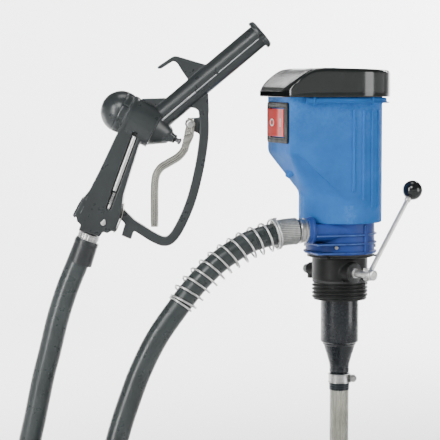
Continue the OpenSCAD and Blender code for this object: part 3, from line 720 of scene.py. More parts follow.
UPPER_LINE = catmull([mm(*p) for p in UPPER], 6)
LOWER_LINE = catmull([mm(*p) for p in LOWER], 6)
DELIVERY = even(UPPER_LINE + coil_points() + LOWER_LINE, 0.007)
SUCTION = even(catmull([mm(*p) for p in SUCTION_DROP] + curl_points(), 6), 0.006)


def hose_piece(name, line, radius, mat, nodes):
    """A tube along a line of points in metres."""
    rings = []
    for p, way, side in zip(line, directions(line), sides_along(line, ACROSS)):
        up = way.cross(side)
        rings.append(
            [(p + (side * cos(a) + up * sin(a)) * radius * MM) / MM for a in angles(28)]
        )
    b = Build()
    b.loft(rings)
    return b.piece(name, "pump", mat, nodes)


delivery = hose_piece(
    "delivery_hose", DELIVERY, HOSE_R, M_HOSE,
    ("delivery_hose_upper", "delivery_hose_coil", "delivery_hose_lower"),
)
suction = hose_piece(
    "suction_hose_tube", SUCTION, SUCTION_R, M_FILM, ("suction_hose",)
)

# ---- motor unit

HOUSING_R = 47.5
FRONT_X = 74.5
CORNER_R = 8
SIDE_X = FRONT_X - CORNER_R
HOUSING_Z0 = 68.5
BOX_Z0 = 148
RAIL_Z = 203.9
COVER_Z0 = 211
COVER_GROW = 9
COVER_EDGE = 4.2
RIM_Z = 213.5
WALL = 3
SHAFT_WALL_R = 44.5
UNDERSIDE_Z = 91.5
UNDERSIDE_SLOPE = 14.2
UNDERSIDE_DEPTH = 3.2
# foot height and radius of each rib, from the slope round to the back
RIBS = ((106, 1.9), (96.5, 1.9), (89, 1.9), (87, 1.4))
RIB_TOP = 195
RIB_FIRST = 92
RIB_STEP = 14.5
ROCKER_TILT = 5
ROCKER_HALF = 21.5
ROCKER_DISH = 3


def plan_outline(arc=40, corner=12, flat=14):
    """Points and outward normals round the housing's plan, its back first."""
    out = []
    slope = math.atan2(2.5, SIDE_X)
    for k in range(arc + 1):
        a = mix(-pi / 2, pi / 2, k / arc)
        out.append((polar(HOUSING_R, a), a))
    for k in range(1, flat):
        t = k / flat
        out.append(((-SIDE_X * t, mix(HOUSING_R, 45, t)), pi / 2 + slope))
    for k in range(corner + 1):
        a = mix(pi / 2 + slope, pi, k / corner)
        x, y = polar(CORNER_R, a)
        out.append(((x - SIDE_X, y + 37), a))
    for k in range(1, flat):
        out.append(((-FRONT_X, mix(37, -37, k / flat)), pi))
    half = out[arc + 1 : arc + flat + corner + 1]
    return out + [((x, -y), -a) for (x, y), a in half[::-1]]


PLAN = plan_outline()


def grown(outline, grow):
    """The outline moved out along its normals."""
    return [(x + grow * cos(a), y + grow * sin(a)) for (x, y), a in outline]


def rounded_path(points, radius, steps=5):
    """A polyline whose inner corners are rounded, the same count for every column."""
    inner = zip(points, points[1:], points[2:])
    bends = [q for abc in inner for q in rounded(*abc, radius, steps)]
    return [points[0], *bends, points[-1]]


def housing_column(p, a, top):
    """One column of the housing's side, from its rim to its foot."""
    low = Vector((*polar(HOUSING_R, a), 0))
    low.z = UNDERSIDE_Z - low.x * math.tan(radians(UNDERSIDE_SLOPE))
    foot = Vector((low.x, low.y, HOUSING_Z0 + 1.2))
    path = rounded_path([Vector((*p, top)), Vector((*p, BOX_Z0)), low, foot], 5)
    side = abs(math.degrees(a))
    if 92.5 < side < 180:
        # the underside stands back from the flat sides, which end in a step
        depth = UNDERSIDE_DEPTH * smoothstep(92.5, 96, side) * (1 - smoothstep(120, 165, side))
        inward = Vector((-cos(a), -sin(a), 0.35)).normalized()
        for v in path:
            fall = smoothstep(BOX_Z0 + 1, BOX_Z0 - 5, v.z)
            fall *= smoothstep(low.z - 6, low.z + 10, v.z)
            v += inward * depth * fall
    turned_in = ((0.985, 0.3), (0.97, 0))
    return path + [Vector((low.x * k, low.y * k, HOUSING_Z0 + up)) for k, up in turned_in]


def housing_piece():
    b = Build()
    outer = [housing_column(p, a, RIM_Z) for p, a in PLAN]
    rings = [[col[i] for col in outer] for i in range(len(outer[0]))][::-1]
    inner = grown(PLAN, -WALL)
    floor = [polar(SHAFT_WALL_R, a) for _, a in PLAN]
    rings += [level(inner, RIM_Z), level(inner, BOX_Z0 + 3)]
    rings += [level(floor, 112), level(floor, HOUSING_Z0 + 4)]
    b.loft(rings)
    # upright ribs with rounded ends, four on each side; the last one is thinner, because
    # the lever's ball swings close by it
    for s in (-1, 1):
        for i, (foot, thick) in enumerate(RIBS):
            x, y = polar(HOUSING_R, s * radians(RIB_FIRST - RIB_STEP * i))
            line = [(x, y, mix(foot, RIB_TOP, k / 12)) for k in range(13)]
            b.bar(line, thick, n=14, round_ends=True)
    # small boss in the middle of the slope
    boss = move(-60.5, 0, 127) @ rot(-55, "Y")
    b.lathe([(0, -3), (8, -3), (8, 0.7), (7, 1.6), (0, 1.6)], boss, 32)
    # collar round the shaft, inside
    b.lathe([(11, 69), (14, 69), (14, 82.5), (11, 82.5)], n=40)
    b.piece("housing_shell", "pump", M_BLUE, ("motor_housing",), 40)


def rail_piece():
    """The ledge under the cover, left out round the front."""
    # the outline runs from the back's right side round to its left
    part = sorted(
        (q for q in PLAN if q[0][0] > -58), key=lambda q: math.atan2(q[0][1], q[0][0])
    )
    profile = [
        (-1, RAIL_Z + 0.1), (6.6, RAIL_Z + 0.1), (8, RAIL_Z + 0.45), (8.2, RAIL_Z + 0.8),
        (8, RAIL_Z + 1.2), (5.6, RAIL_Z + 1.5), (5.1, RAIL_Z + 2.1), (5, 208.6), (4.6, 209.6),
        (3.9, 210), (-1, 210),
    ]
    b = Build()
    b.loft([[(x + g * cos(a), y + g * sin(a), z) for g, z in profile] for (x, y), a in part])
    # upstands where the ledge begins
    for y0, y1 in ((-49.8, -47.2), (47.2, 49.8)):
        b.box((-58.8, y0, 203.5), (-55.6, y1, 210.2), edge=0.5)
    b.piece("cover_rail", "pump", M_BLUE, (), 40)


COVER_TOP = (
    (-84, 219.4), (-81.8, 220.6), (-80, 222.6), (-74, 227.8), (-68, 232.6), (-62, 237), (-57, 240),
    (-52, 241.9), (-46, 243), (-38, 243.5), (-30, 243.5), (20, 242.2), (62, 240.6),
)


def cover_height(x):
    """Height of the cover's top along the pump, front to back."""
    return table(COVER_TOP, x)


def cover_piece():
    sides = [(p, a) for p, (_, a) in zip(grown(PLAN, COVER_GROW), PLAN)]
    outer = grown(sides, 0)

    def drop(x):
        """How far down the rounded top edge begins."""
        return min(COVER_EDGE, (cover_height(x) - COVER_Z0) * 0.35)

    lip = (
        (3.2, 214.6), (2.8, COVER_Z0 + 0.6), (2.2, COVER_Z0), (0.9, COVER_Z0),
        (0.25, COVER_Z0 + 0.3), (0, COVER_Z0 + 1),
    )
    rings = [level(grown(sides, -inset), z) for inset, z in lip]
    for t in (0.25, 0.5, 0.75, 1):
        rings.append(
            [(x, y, mix(COVER_Z0 + 1, cover_height(x) - drop(x), t)) for x, y in outer]
        )
    for k in range(1, 8):
        a = pi / 2 * k / 7
        inner = grown(sides, -COVER_EDGE * (1 - cos(a)))
        rings.append(
            [
                (x, y, cover_height(x) - drop(x0) * (1 - sin(a)))
                for (x0, _), (x, y) in zip(outer, inner)
            ]
        )
    for t in (0.06, 0.14, 0.26, 0.42, 0.6, 0.8, 0.97):
        ring = [Vector(p).lerp(Vector((-8, 0)), t) for p in grown(sides, -COVER_EDGE)]
        rings.append([(q.x, q.y, cover_height(q.x)) for q in ring])
    b = Build()
    b.loft(rings)
    b.piece("cover_shell", "pump", M_COVER, ("motor_cover",), 60)


def cover_lip_piece():
    """A matt strip along the cover's front edge."""
    part = sorted((p for p in grown(PLAN, COVER_GROW) if p[0] < -77.5), key=lambda p: p[1])
    foot = COVER_Z0 + 0.6
    rings = []
    for x, y in part:
        end = 0.3 * smoothstep(-77.5, -81, x)
        top = min(218.6, cover_height(x) - 2.4)
        rings.append(
            [(x - end, y, foot), (x - end, y, top - 0.4), (x - end * 0.6, y, top),
             (x + 0.6, y, top), (x + 0.6, y, foot)]
        )
    b = Build()
    b.loft(rings)
    b.piece("cover_lip", "pump", M_LIP, (), 40)


def rocker_dish(y):
    """How far in the rocker's face is at a height on it."""
    far = abs(y) / ROCKER_HALF
    return -ROCKER_DISH * far - 0.35 * sin(pi * min(far * 1.15, 1))


def box_outline(y, z0, z1, radius):
    return round_corners([(-y, z0), (y, z0), (y, z1), (-y, z1)], radius)


def switch_pieces():
    rim = box_outline(36, 159, 205, 4.5)
    hole = box_outline(23.6, 165.4, 198.6, 1.4)
    face = -FRONT_X - 2
    rows = (
        (rim, 0, -FRONT_X + 0.1), (rim, 0, face + 0.9), (rim, 0.3, face + 0.3), (rim, 0.9, face),
        (rim, 3.6, face), (rim, 4.1, face + 0.35), (rim, 5, face + 0.35),
        (hole, -0.5, face + 0.15), (hole, 0, face + 0.7), (hole, 0, -FRONT_X + 5.9),
    )
    rings = [[(x, y, z) for y, z in inset_outline(line, inset)] for line, inset, x in rows]
    for x in (-FRONT_X + 5.9, -FRONT_X + 0.1):
        rings.append([(x, clamp(y, -32.7, 32.7), clamp(z, 162.3, 201.7)) for y, z in rim])
    b = Build()
    b.loft(rings, caps=False, closed=True)
    b.lathe([(0, 164.6), (1.5, 164.6), (1.5, 199.4), (0, 199.4)], move(*ROCKER_PIN, 0), 20)
    b.piece("switch_frame", "pump", M_BEZEL, ("switch_bezel",), 30)
    # rocker: two dished faces meeting in a crease, raised marks on them
    tilt = move(-FRONT_X - 1.1, 0, 166.5) @ rot(ROCKER_TILT)
    across = [mix(-ROCKER_HALF, ROCKER_HALF, k / 10) for k in range(11)]
    profile = [(rocker_dish(y), y) for y in across]
    profile += [(-2.4, 21.9), (1.4, 21.7), (5.2, 6.2), (5.2, -6.2), (1.4, -21.7), (-2.4, -21.9)]
    rings = []
    for inset, z in ((1, 0), (0.3, 0.3), (0, 1), (0, 30), (0.3, 30.7), (1, 31)):
        rings.append([(mix(x, 0.5, inset / 12), y * (1 - inset / 40), z) for x, y in profile])
    b = Build()
    b.loft(rings, tilt)
    b.piece("rocker_body", "rocker", M_RED, ("switch_rocker",), 24)
    b = Build()
    for s in (1, -1):
        lean = Matrix.Rotation(math.atan2(ROCKER_DISH, ROCKER_HALF) * s, 4, "Z")
        spot = tilt @ move(rocker_dish(11.5) - 0.05, s * 11.5, 15.5) @ lean @ rot(-90, "Y")
        if s > 0:
            ring = [(3, -0.2), (4.3, -0.2), (4.3, 0.2), (4, 0.3), (3.3, 0.3), (3, 0.2)]
            b.lathe(ring, spot, 40)
        else:
            b.box((-4.6, -0.65, -0.2), (4.6, 0.65, 0.3), spot, 0.15, 2)
    b.piece("rocker_marks", "rocker", M_MARK, (), 30)


PIN_X, PIN_Y = polar(2.8, radians(ROCKER_TILT))
ROCKER_PIN = (-FRONT_X - 1.1 + PIN_X, PIN_Y)
housing_piece()
rail_piece()
cover_piece()
cover_lip_piece()
switch_pieces()

# ---- pump head and bung adapter

M_RIM = plastic("boss_rim", (0.022, 0.024, 0.024), 0.34, 900, 0.03, gloss=0.4)


def screw(b, at, r, h):
    """A cap screw's head with a hexagon socket in it."""

    def socket(radius, z, a):
        if radius < 0.52 * r:
            half = pi / 6
            return radius * cos(half) / cos((a % (2 * half)) - half)
        return radius

    profile = [
        (0, -0.6), (r, -0.6), (r, 0.62 * h), (0.93 * r, 0.86 * h), (0.78 * r, h), (0.51 * r, h),
        (0.49 * r, 0.96 * h), (0.46 * r, 0.4 * h), (0, 0.4 * h),
    ]
    b.lathe(profile, at, 36, socket)


def head_pieces():
    nodes = ("pump_head",)
    remeshed("head_casting", nodes, "pump", M_HEAD, 0.6, 2, nodes)
    b = Build()
    for a in (-116, -26, 64, 154):
        screw(b, outward(a, 39.6, 41.5), 2.1, 1.7)
    b.piece("head_screw_set", "pump", M_STEEL, ("head_screws",), 30)
    # drain plug on the back
    b = Build()
    plug = [(0, -0.6), (3.6, -0.6), (3.6, 1.2), (3.1, 1.7), (0, 1.7)]
    b.lathe(plug, outward(100, 39.4, 50.2), 6)
    b.piece("drain_plug", "pump", M_STEEL, (), 30)


def adapter_pieces():
    nodes = ("bung_adapter",)
    remeshed("adapter_body", nodes, "pump", M_BLACK, 0.85, 3, nodes)
    # thin dished washer in front of the boss
    washer = [
        (6.3, 34.4), (10.6, 34.4), (11.4, 34.8), (11.6, 35.3), (11.2, 35.8), (9.6, 35.5),
        (7.6, 35), (6.3, 35),
    ]
    b = Build()
    b.lathe(washer, LEVER_AXIS, 56)
    b.piece("boss_washer", "pump", M_RIM, (), 30)


def thread_piece():
    """A coarse round-topped screw thread on the bung's sleeve."""
    pitch, top, low, n, steps = 4.3, -0.25, -20.45, 120, 100

    def radius(z, a):
        turn = (z / pitch - a / TAU) % 1
        crest = smoothstep(0.12, 0.85, 0.5 - 0.5 * cos(TAU * turn))
        ends = smoothstep(top, top - 2, z) * smoothstep(low, low + 3, z)
        return 30.1 + 1.9 * crest * ends

    rings = []
    for i in range(steps + 1):
        z = mix(top, low, i / steps)
        rings.append([(*polar(radius(z, a), a), z) for a in angles(n)])
    for r, z in ((29.4, low), (22.6, low), (22.1, low + 0.5), (22.1, top), (29.5, top)):
        rings.append([(*polar(r, a), z) for a in angles(n)])
    b = Build()
    b.loft(rings, caps=False, closed=True)
    b.piece("thread_sleeve", "pump", M_BLACK, ("bung_thread",), 50)


def suction_pieces():
    profile = [
        (19.3, 7), (25.5, 7), (25.5, 5.3), (21.9, 5.2), (21.8, 3), (21.8, -19), (21.75, -45),
        (21.75, -68.4), (21.4, -69.6), (20.4, -70.3), (19.2, -71.2), (18.1, -73), (17.55, -75.2),
        (14.4, -85.6), (11.9, -94.4), (11.45, -97), (11.45, -99.2), (11.1, -99.6), (11.1, -100.6),
        (11.45, -101), (11.45, -104.7), (11, -105.1), (9, -105.9), (9, -121.7), (6.2, -121.9),
        (6.1, -92), (9.5, -91.5), (9.5, -84), (19.2, -72.4),
    ]
    turned_piece("tube_body", "pump", M_TUBE, "suction_tube", 28, profile, n=96)
    b = Build()
    profile = [(9.1, -106.15), (11.3, -106.2), (11.32, -117.8)]
    z = -118.2
    for _ in range(3):
        profile += [(11.75, z), (11.8, z - 1.5), (11.15, z - 1.9), (11.15, z - 2.4)]
        z -= 2.6
    profile += [(11.2, -125.9), (9.1, -125.95)]
    b.lathe(profile, n=80)
    b.piece("collar_sleeve", "pump", M_COLLAR, ("suction_collar",), 28)
    # worm-drive clamp: slotted band with rolled edges, housing and screw
    b = Build()
    b.lathe([
        (11.45, -117.4), (12.7, -117.45), (13.05, -117.2), (13, -116.6), (12.55, -116.2),
        (12.45, -112.2), (12.55, -108.2), (13, -107.9), (13.05, -107.3), (12.7, -107.05),
        (11.45, -107.1),
    ], n=90)
    turned = rot(CLAMP_TURN)
    b.box((12.4, -5.6, -115.4), (15.2, 5.6, -108.9), turned, 0.7, 3)
    b.box((11.9, -8.6, -116.4), (13.3, 8.4, -107.9), turned, 0.5, 2)
    for y in (-3.9, 3.9):
        b.box((13.4, y - 1.2, -115), (18.6, y + 1.2, -109.2), turned, 0.9, 3)
    b.piece("clamp_band", "pump", M_STEEL, ("hose_clamp_band",), 30)
    b = Build()
    at = turned @ move(15.6, -7, -112.1) @ rot(-90, "X")
    thread = [(0, 0)]
    for k in range(13):
        thread += [(1.55, k * 1.05 + 0.1), (2.1, k * 1.05 + 0.6)]
    thread += [(1.5, 14), (0, 14.2)]
    b.lathe(thread, at, 28)
    at = at @ rot(180, "X")
    b.lathe([(0, 0.1), (3.6, 0.1), (3.6, 2.7), (3.1, 3.4), (1.2, 3.5), (1.1, 2.6), (0, 2.6)], at, 6)
    b.lathe([(2.2, -0.4), (4.1, -0.4), (4.1, 0.3), (2.2, 0.3)], at, 36)
    b.piece("clamp_screw", "pump", M_STEEL, ("hose_clamp_screw",), 30)


def strainer_piece():
    """Foot strainer: a ribbed cage with slots, its cap and barb."""
    end = SUCTION[-1] / MM
    at = move(end.x, end.y, FLOOR_Z + 12.05) @ rot(CURL_END - 90) @ rot(90, "Y")

    def ribbed(r, z, a):
        if r > 10.9 and 15 < z < 52:
            return r - 0.7 * smoothstep(0.2, 0.8, 0.5 + 0.5 * cos(10 * a))
        return r

    profile = [
        (0, 0.2), (11.2, 0.2), (11.9, 0.9), (11.9, 3.4), (11.3, 4), (11.3, 5), (11.9, 5.6),
        (11.9, 13.2), (11.5, 14.2), (11.9, 15.6), (11.9, 20), (11.9, 30), (11.9, 40), (11.9, 51),
        (11.6, 55), (10.4, 57.2), (8.6, 57.9), (0, 57.9),
    ]
    b = Build()
    b.lathe(profile, at, 80, ribbed)
    for z in (24, 32, 40, 48):
        b.lathe([(10.2, z - 1.5), (11.98, z - 1.2), (11.98, z + 1.2), (10.2, z + 1.5)], at, 60)
    return b.piece("strainer_cage", "pump", M_BLACK, ("foot_strainer",), 30)


# ---- priming lever

M_SATIN = metal("satin_nickel", (0.78, 0.78, 0.76), 0.34, (1, 1, 6), 0.2, 0.008, bare=0.85)


def lever_pieces():
    b = Build()
    b.lathe([
        (0, -36.9), (3.7, -36.9), (4.28, -36.2), (4.28, 35.9), (5.3, 36.1), (5.3, 37.2),
        (4.28, 37.6), (4.2, 49.6), (4.9, 50.4), (5.5, 51.4), (5.58, 52.2), (5.58, 60.8),
        (5.2, 61.7), (5, 62), (5.9, 62.3), (6.15, 63), (6.1, 64.4), (5.6, 65.2), (4.7, 65.45),
        (4.4, 64.9), (2.4, 64.9), (1.9, 65.3), (0.8, 65.4), (0.5, 65), (0, 64.9),
    ], LEVER_AXIS, 56)
    # clamp ears under the rod's eye
    b.box((-7.8, -4.6, 52.6), (-3.8, -1.4, 60.2), LEVER_AXIS, 0.5, 2)
    b.box((3.6, -3.4, 53.2), (6.6, 2.4, 59.8), LEVER_AXIS, 0.5, 2)
    b.piece("lever_spindle", "lever", M_SATIN, ("lever_shaft",), 30)
    profile = [
        (0, -7.9), (2.4, -7.9), (2.95, -7.3), (2.95, 5.2), (2.75, 6), (2.62, 12), (2.55, 96),
        (2.6, 101), (3.4, 102), (3.6, 103), (3.6, 105), (2.9, 106.2), (2.6, 108.5), (0, 108.5),
    ]
    turned_piece("lever_bar", "lever", M_SATIN, "lever_rod", 30, profile, LEVER_ROD, 40)
    profile = [(0, LEVER_LEN - KNOB_R * 0.93)]
    for k in range(24):
        x, z = polar(KNOB_R, mix(-pi / 2 + 0.38, pi / 2, k / 24))
        profile.append((x, LEVER_LEN + z))
    profile.append((0, LEVER_LEN + KNOB_R))
    # parting line left by the mould
    profile = [(x + (0.07 if abs(z - LEVER_LEN) < 0.5 else 0), z) for x, z in profile]
    turned_piece("lever_knob", "lever", M_BALL, "lever_ball", 30, profile, LEVER_ROD, 64)
    cap = [(0, -37), (5.2, -37), (5.55, -37.5), (5.55, -40.4)]
    for k in range(1, 8):
        a = pi / 2 * k / 8
        cap.append((5.55 * cos(a), -40.4 - 5.4 * sin(a)))
    cap.append((0, -45.8))
    turned_piece("shaft_end_cap", "lever", M_CAP, "shaft_cap", 30, cap, LEVER_AXIS, 48)
    b = Build()
    # stop lug under the far end of the shaft
    b.box((3.4, -5.2, -35.6), (10.4, 1.4, -30.4), LEVER_AXIS, 0.7, 2)
    b.piece("stop_lug", "pump", M_BLACK, (), 30)


# ---- outlet and bend spring


def across_hose(at, reach):
    """The hose's centre at a distance along it, and a normal level with its bend, in mm."""
    run = steps_of(UPPER_LINE)
    low, high = (at_length(UPPER_LINE, run, s * MM) for s in (at - reach, at + reach))
    return at_length(UPPER_LINE, run, at * MM) / MM, ACROSS.cross((high - low).normalized())


def outlet_pieces():
    profile = [
        (6.6, 50.65), (12.9, 50.65), (13.35, 51), (13.35, 51.4), (14.15, 51.7), (14.15, 53.2),
        (13.4, 53.7), (12.5, 54), (12.5, 54.8), (13.4, 55.1), (13.4, 56.2), (14.15, 56.6),
        (14.15, 58.2), (13.3, 58.7), (12.9, 59.85), (6.6, 59.85),
    ]
    turned_piece("outlet_ferrule", "pump", M_ALU, "hose_ferrule", 30, profile, OUTLET)
    # braided sleeve, bent with the hose
    profile = [(12.7, 1.9), (14.2, 1.9), (14.9, 2.3), (15.15, 3)]
    profile += [(15.15, 4 + 0.42 * k) for k in range(54)]
    profile += [(15.15, 27.4), (14.8, 28.3), (14.1, 28.7), (12.7, 28.7)]
    rings = []
    for r, s in profile:
        c, n = across_hose(s, 6)
        ring = []
        for a in angles(156):
            q = r
            if r > 15 and 4 < s < 27:
                q += 0.16 * sin(26 * a + 1.9 * s) * sin(26 * a - 1.9 * s) - 0.16
            ring.append(c + (n * cos(a) + ACROSS * sin(a)) * q)
        rings.append(ring)
    b = Build()
    b.loft(rings, caps=False, closed=True)
    b.piece("braided_sleeve", "pump", M_SLEEVE, ("spring_sleeve",), 60)


SPRING_TURNS = 14.4
SPRING_RUNS = ((0, 23.5), (2, 28.7), (12.9, 161.7), (14.4, 165.9))
SPRING_RADII = ((0, 17), (2, 17), (3.2, 16.6), (12.4, 16.6), (13.1, 13.9), (14.4, 13.9))
SPRING_SAGS = ((0, 0), (2, 0), (3.2, 2.2), (9, 1.6), (12, 0.2), (14.4, 0))


def spring_piece():
    """The bend spring: close turns on the sleeve, open ones round the hose, two tight ones."""
    per, line = 36, []
    for k in range(round(SPRING_TURNS * per) + 1):
        turns = k / per
        c, n = across_hose(table(SPRING_RUNS, turns), 3)
        a = TAU * turns
        out = (n * cos(a) + ACROSS * sin(a)) * table(SPRING_RADII, turns)
        line.append(c - n * table(SPRING_SAGS, turns) + out)
    b = Build()
    b.bar(line, 1.15, n=10, first=(0.1, 0.2, 1), round_ends=True)
    return b.piece("bend_spring", "pump", M_WIRE, ("kink_spring",), 60)


def tie_pieces():
    """Straps round the stacked turns of the coil, each with its buckle."""
    stack = (COIL_TURNS - 1) * COIL_PITCH + 2 * HOSE_R
    inner, outer, top = COIL_R - HOSE_R - 0.4, COIL_R + HOSE_R + 0.4, stack + 0.4
    path = round_corners([(inner, 0.6), (inner, top), (outer, top), (outer, 0.6)], 3)
    around = inset_outline(path, -1.2)
    section = ((path, -7.5), (around, -7.5), (around, 7.5), (path, 7.5))
    rings = [[(x, y, z) for x, z in line] for line, y in section]
    b = Build()
    for a in (-90, 30):
        at = move(*COIL_AT, FLOOR_Z) @ rot(a)
        b.loft(rings, at, caps=False, closed=True)
        b.box((outer + 0.9, -6, stack * 0.5), (outer + 2, 6, stack * 0.5 + 14), at, 0.4)
    return b.piece("coil_straps", "pump", M_BLACK, ("coil_ties",), 40)


head_pieces()
adapter_pieces()
thread_piece()
suction_pieces()
strainer = strainer_piece()
lever_pieces()
outlet_pieces()
spring = spring_piece()
ties = tie_pieces()

# ---- nozzle

CAP_R = 23.2
GRIP_T = 30
GRIP_LEAN = -20.3
SEAM_AT = 193
PIVOT = NOZZLE @ move(75.6, -13.2, 0)
TRIGGER_BENDS = (
    (76.4, -7), (74.2, -19), (71.8, -31), (68.8, -41.5), (61.8, -49.7), (50.8, -56.3),
    (42.5, -61.8), (37.6, -70.7), (36.2, -86.1), (36.1, -104), (36.1, -126.2),
)
TRIGGER_LINE = catmull([Vector((x, y, 0)) for x, y in TRIGGER_BENDS], 5)


def grip_at(x, y, deep=0, lean=GRIP_LEAN):
    """A frame on the grip's flat face or under it, its y axis along the grip."""
    return NOZZLE @ move(x, y, GRIP_T / 2 - deep) @ rot(lean)


def handle_pieces():
    extra = Build()
    # raised rim round the barrel beside the cap, and a nut on its nose
    rim = [(21.8, 6.2), (22.9, 6.3), (23, 7), (23, 10.6), (22.5, 11.4), (21.8, 11.4)]
    extra.lathe(rim, VALVE, 90)
    extra.lathe([(3.6, 57.5), (6.6, 57.5), (6.6, 61.5), (5.6, 62.3), (3.6, 62.3)], VALVE, 6)
    extra.lathe([(2.9, 62), (4.6, 62), (4.6, 66.4), (4.1, 66.9), (2.9, 66.9)], VALVE, 40)
    nodes = ("nozzle_handle",)
    remeshed("nozzle_body", nodes, "nozzle", M_IRON, 0.8, 3, nodes, extra)
    # domed cap with a seam and a row of grip notches near its rim
    profile = [(0, -CAP_R)]
    for k in range(1, 40):
        r, z = polar(CAP_R, mix(-pi / 2, math.asin(5.9 / CAP_R), k / 40))
        seam = 0.45 if abs(z + 1.6) < 0.45 else 0
        profile.append((r - seam, z))
    profile += [(22.42, 5.9), (18, 5.9), (18, -9.1), (15, -13.4), (10.9, -16.9), (0, -17)]

    def notched(r, z, a):
        if 19 < r and -1 < z < 5:
            step = (a * 8 / TAU) % 1
            return r - 0.7 * smoothstep(0.4, 0.44, step) * (1 - smoothstep(0.52, 0.56, step))
        return r

    turned_piece("barrel_cap", "nozzle", M_IRON, "valve_cap", 26, profile, VALVE, 160, notched)
    # strips let in along both edges of the grip's foot
    b = Build()
    path = [(2, -101), (1.6, -107), (0.5, -113.5), (-3, -123), (-6.4, -130.4), (-9.2, -132.2)]
    b.prism(strip(path, 1.3), -9.5, 9.5, NOZZLE, 0.3, 2)
    b.piece("latch_strip", "nozzle", M_NICKEL, (), 30)
    b = Build()
    path = [(-42.6, -94.4), (-46.2, -100.2), (-53, -113.4), (-51.2, -115.4)]
    b.prism(strip(path, 1.9), -10.5, 10.5, NOZZLE, 0.4, 2)
    b.box((-2.2, -1.6, -1), (-1.4, 7.2, 0.35), grip_at(-42.6, -110.2, lean=-27), 0.2, 2)
    b.box((-1.8, -0.4, -1), (-1, 4.4, 0.35), grip_at(-37.4, -96.6, lean=-27), 0.2, 2)
    b.piece("grip_flap", "nozzle", M_IRON, (), 30)


def strip(path, wide):
    """The outline of a band of even width along a flat line."""
    pts = [Vector((x, y, 0)) for x, y in path]
    left, right = [], []
    for p, d in zip(pts, directions(pts)):
        n = Vector((-d.y, d.x, 0)) * wide / 2
        left.append(tuple(p + n)[:2])
        right.append(tuple(p - n)[:2])
    return left + right[::-1]


def spout_piece():
    def notched(r, z, a):
        # the mouth's flange is cut through beside the mould line
        if r < 13.2:
            return r
        gap = abs(((a - radians(SEAM_AT) + pi) % TAU) - pi)
        return mix(13, r, smoothstep(0.15, 0.2, gap))

    profile = [
        (10.3, 8), (13, 8), (13, 155), (13.6, 156), (14.8, 155.6), (15.8, 154.2), (16.6, 154),
        (17.1, 155.4), (16.8, 158), (15.6, 159.8), (13.6, 160.5), (10.3, 160.5),
    ]
    hook = [
        (93.5, 51.5), (76, 31), (66.5, 44.5), (61, 53.6), (57, 55.8), (43.2, 47), (39.4, 47.2),
        (39.6, 49.6), (54.5, 59.6), (58.2, 61.4), (62, 60.8),
    ]
    extra = Build()
    extra.lathe(profile, SPOUT, 120, notched)
    extra.prism(round_corners(hook, 1.6), -3.4, 3.4, NOZZLE)
    web = round_corners([(22, 14.6), (48, 15.4), (44, 0), (22, 0)], 1.2)
    extra.prism(web, -4.2, 4.2, NOZZLE)
    remeshed("spout_body", [], "nozzle", M_IRON, 0.72, 2, ("spout",), extra)
    # mould line down each side: a real ridge, in pale metal as a painted highlight streak
    b = Build()
    for a in (SEAM_AT, -13):
        for lo, hi, thick in ((15, 62, 1.25), (64.5, 92, 0.8), (96, 152, 0.7)):
            line = [(*polar(12.8, radians(a)), mix(lo, hi, k / 8)) for k in range(9)]
            b.bar(line, thick, SPOUT, 10, round_ends=True)
    b.piece("spout_seam_highlight", "nozzle", M_SEAM_HIGHLIGHT, (), 60)


def guard_piece():
    web = [
        (95.2, 22), (96.2, 0), (94, -9), (89.6, -9), (88.4, -3.4), (85.2, 1.2), (80.4, 4.2),
        (74, 4.8), (76, 9),
    ]
    lug = [(12.6, -124.4), (16.6, -122.2), (19.8, -127.6), (14.4, -130.2)]
    extra = Build()
    extra.prism(round_corners(web, 2.2), -5.6, 5.6, NOZZLE)
    # stop lug and its stub under the guard's foot
    extra.prism(round_corners(lug, 1), -6.4, 6.4, NOZZLE)
    nodes = ("trigger_guard",)
    remeshed("guard_bow", nodes, "nozzle", M_IRON, 0.8, 4, nodes, extra)


def trigger_piece():
    """Folded strip: a channel whose outer corners are rounded, with a bead along each side."""
    half, deep, wall = 4.3, 8, 1.7
    section = [
        (-half, -deep + 2.2), (-half + 0.6, -deep + 0.8), (-half + 2, -deep), (-1.4, -deep),
        (-0.8, -deep + 1), (0.6, -deep + 1), (1.3, -deep), (half - 0.6, -deep),
        (half, -deep + 0.6), (half, -deep + wall), (-half + wall, -deep + wall + 0.8),
        (-half + wall, deep - wall - 0.8), (half, deep - wall), (half, deep - 0.6),
        (half - 0.6, deep), (1.3, deep), (0.6, deep - 1), (-0.8, deep - 1), (-1.4, deep),
        (-half + 2, deep), (-half + 0.6, deep - 0.8), (-half, deep - 2.2),
    ]
    b = Build()
    rings = []
    run = steps_of(TRIGGER_LINE)
    for p, d, at in zip(TRIGGER_LINE, directions(TRIGGER_LINE), run):
        n = Vector((d.y, -d.x, 0))
        slim = mix(0.86, 1, smoothstep(0, 16, at))
        slim *= mix(1, 0.9, smoothstep(run[-1] - 6, run[-1], at))
        rings.append([(p.x + n.x * u * slim, p.y + n.y * u * slim, w) for u, w in section])
    b.loft(rings, NOZZLE)
    # eye round the pin, one ring on each side
    for z in (-8.05, 6.1):
        eye = [(2.7, z), (4.9, z), (5.3, z + 0.4), (5.3, z + 1.5), (4.9, z + 1.95), (2.7, z + 1.95)]
        b.lathe(eye, PIVOT, 48)
    # folded lugs round the strip where the valve stem presses
    lug = [
        (67.3, -31), (69.4, -24.5), (76.8, -22), (77.4, -12), (80.2, -12.6), (79.6, -26),
        (76, -34), (71.4, -39.4), (67.8, -37.6),
    ]
    b.prism(round_corners(lug, 1.2), 8.15, 9.1, NOZZLE, 0.25, 2)
    b.piece("trigger_strip", "trigger", M_NICKEL, ("trigger",), 32)


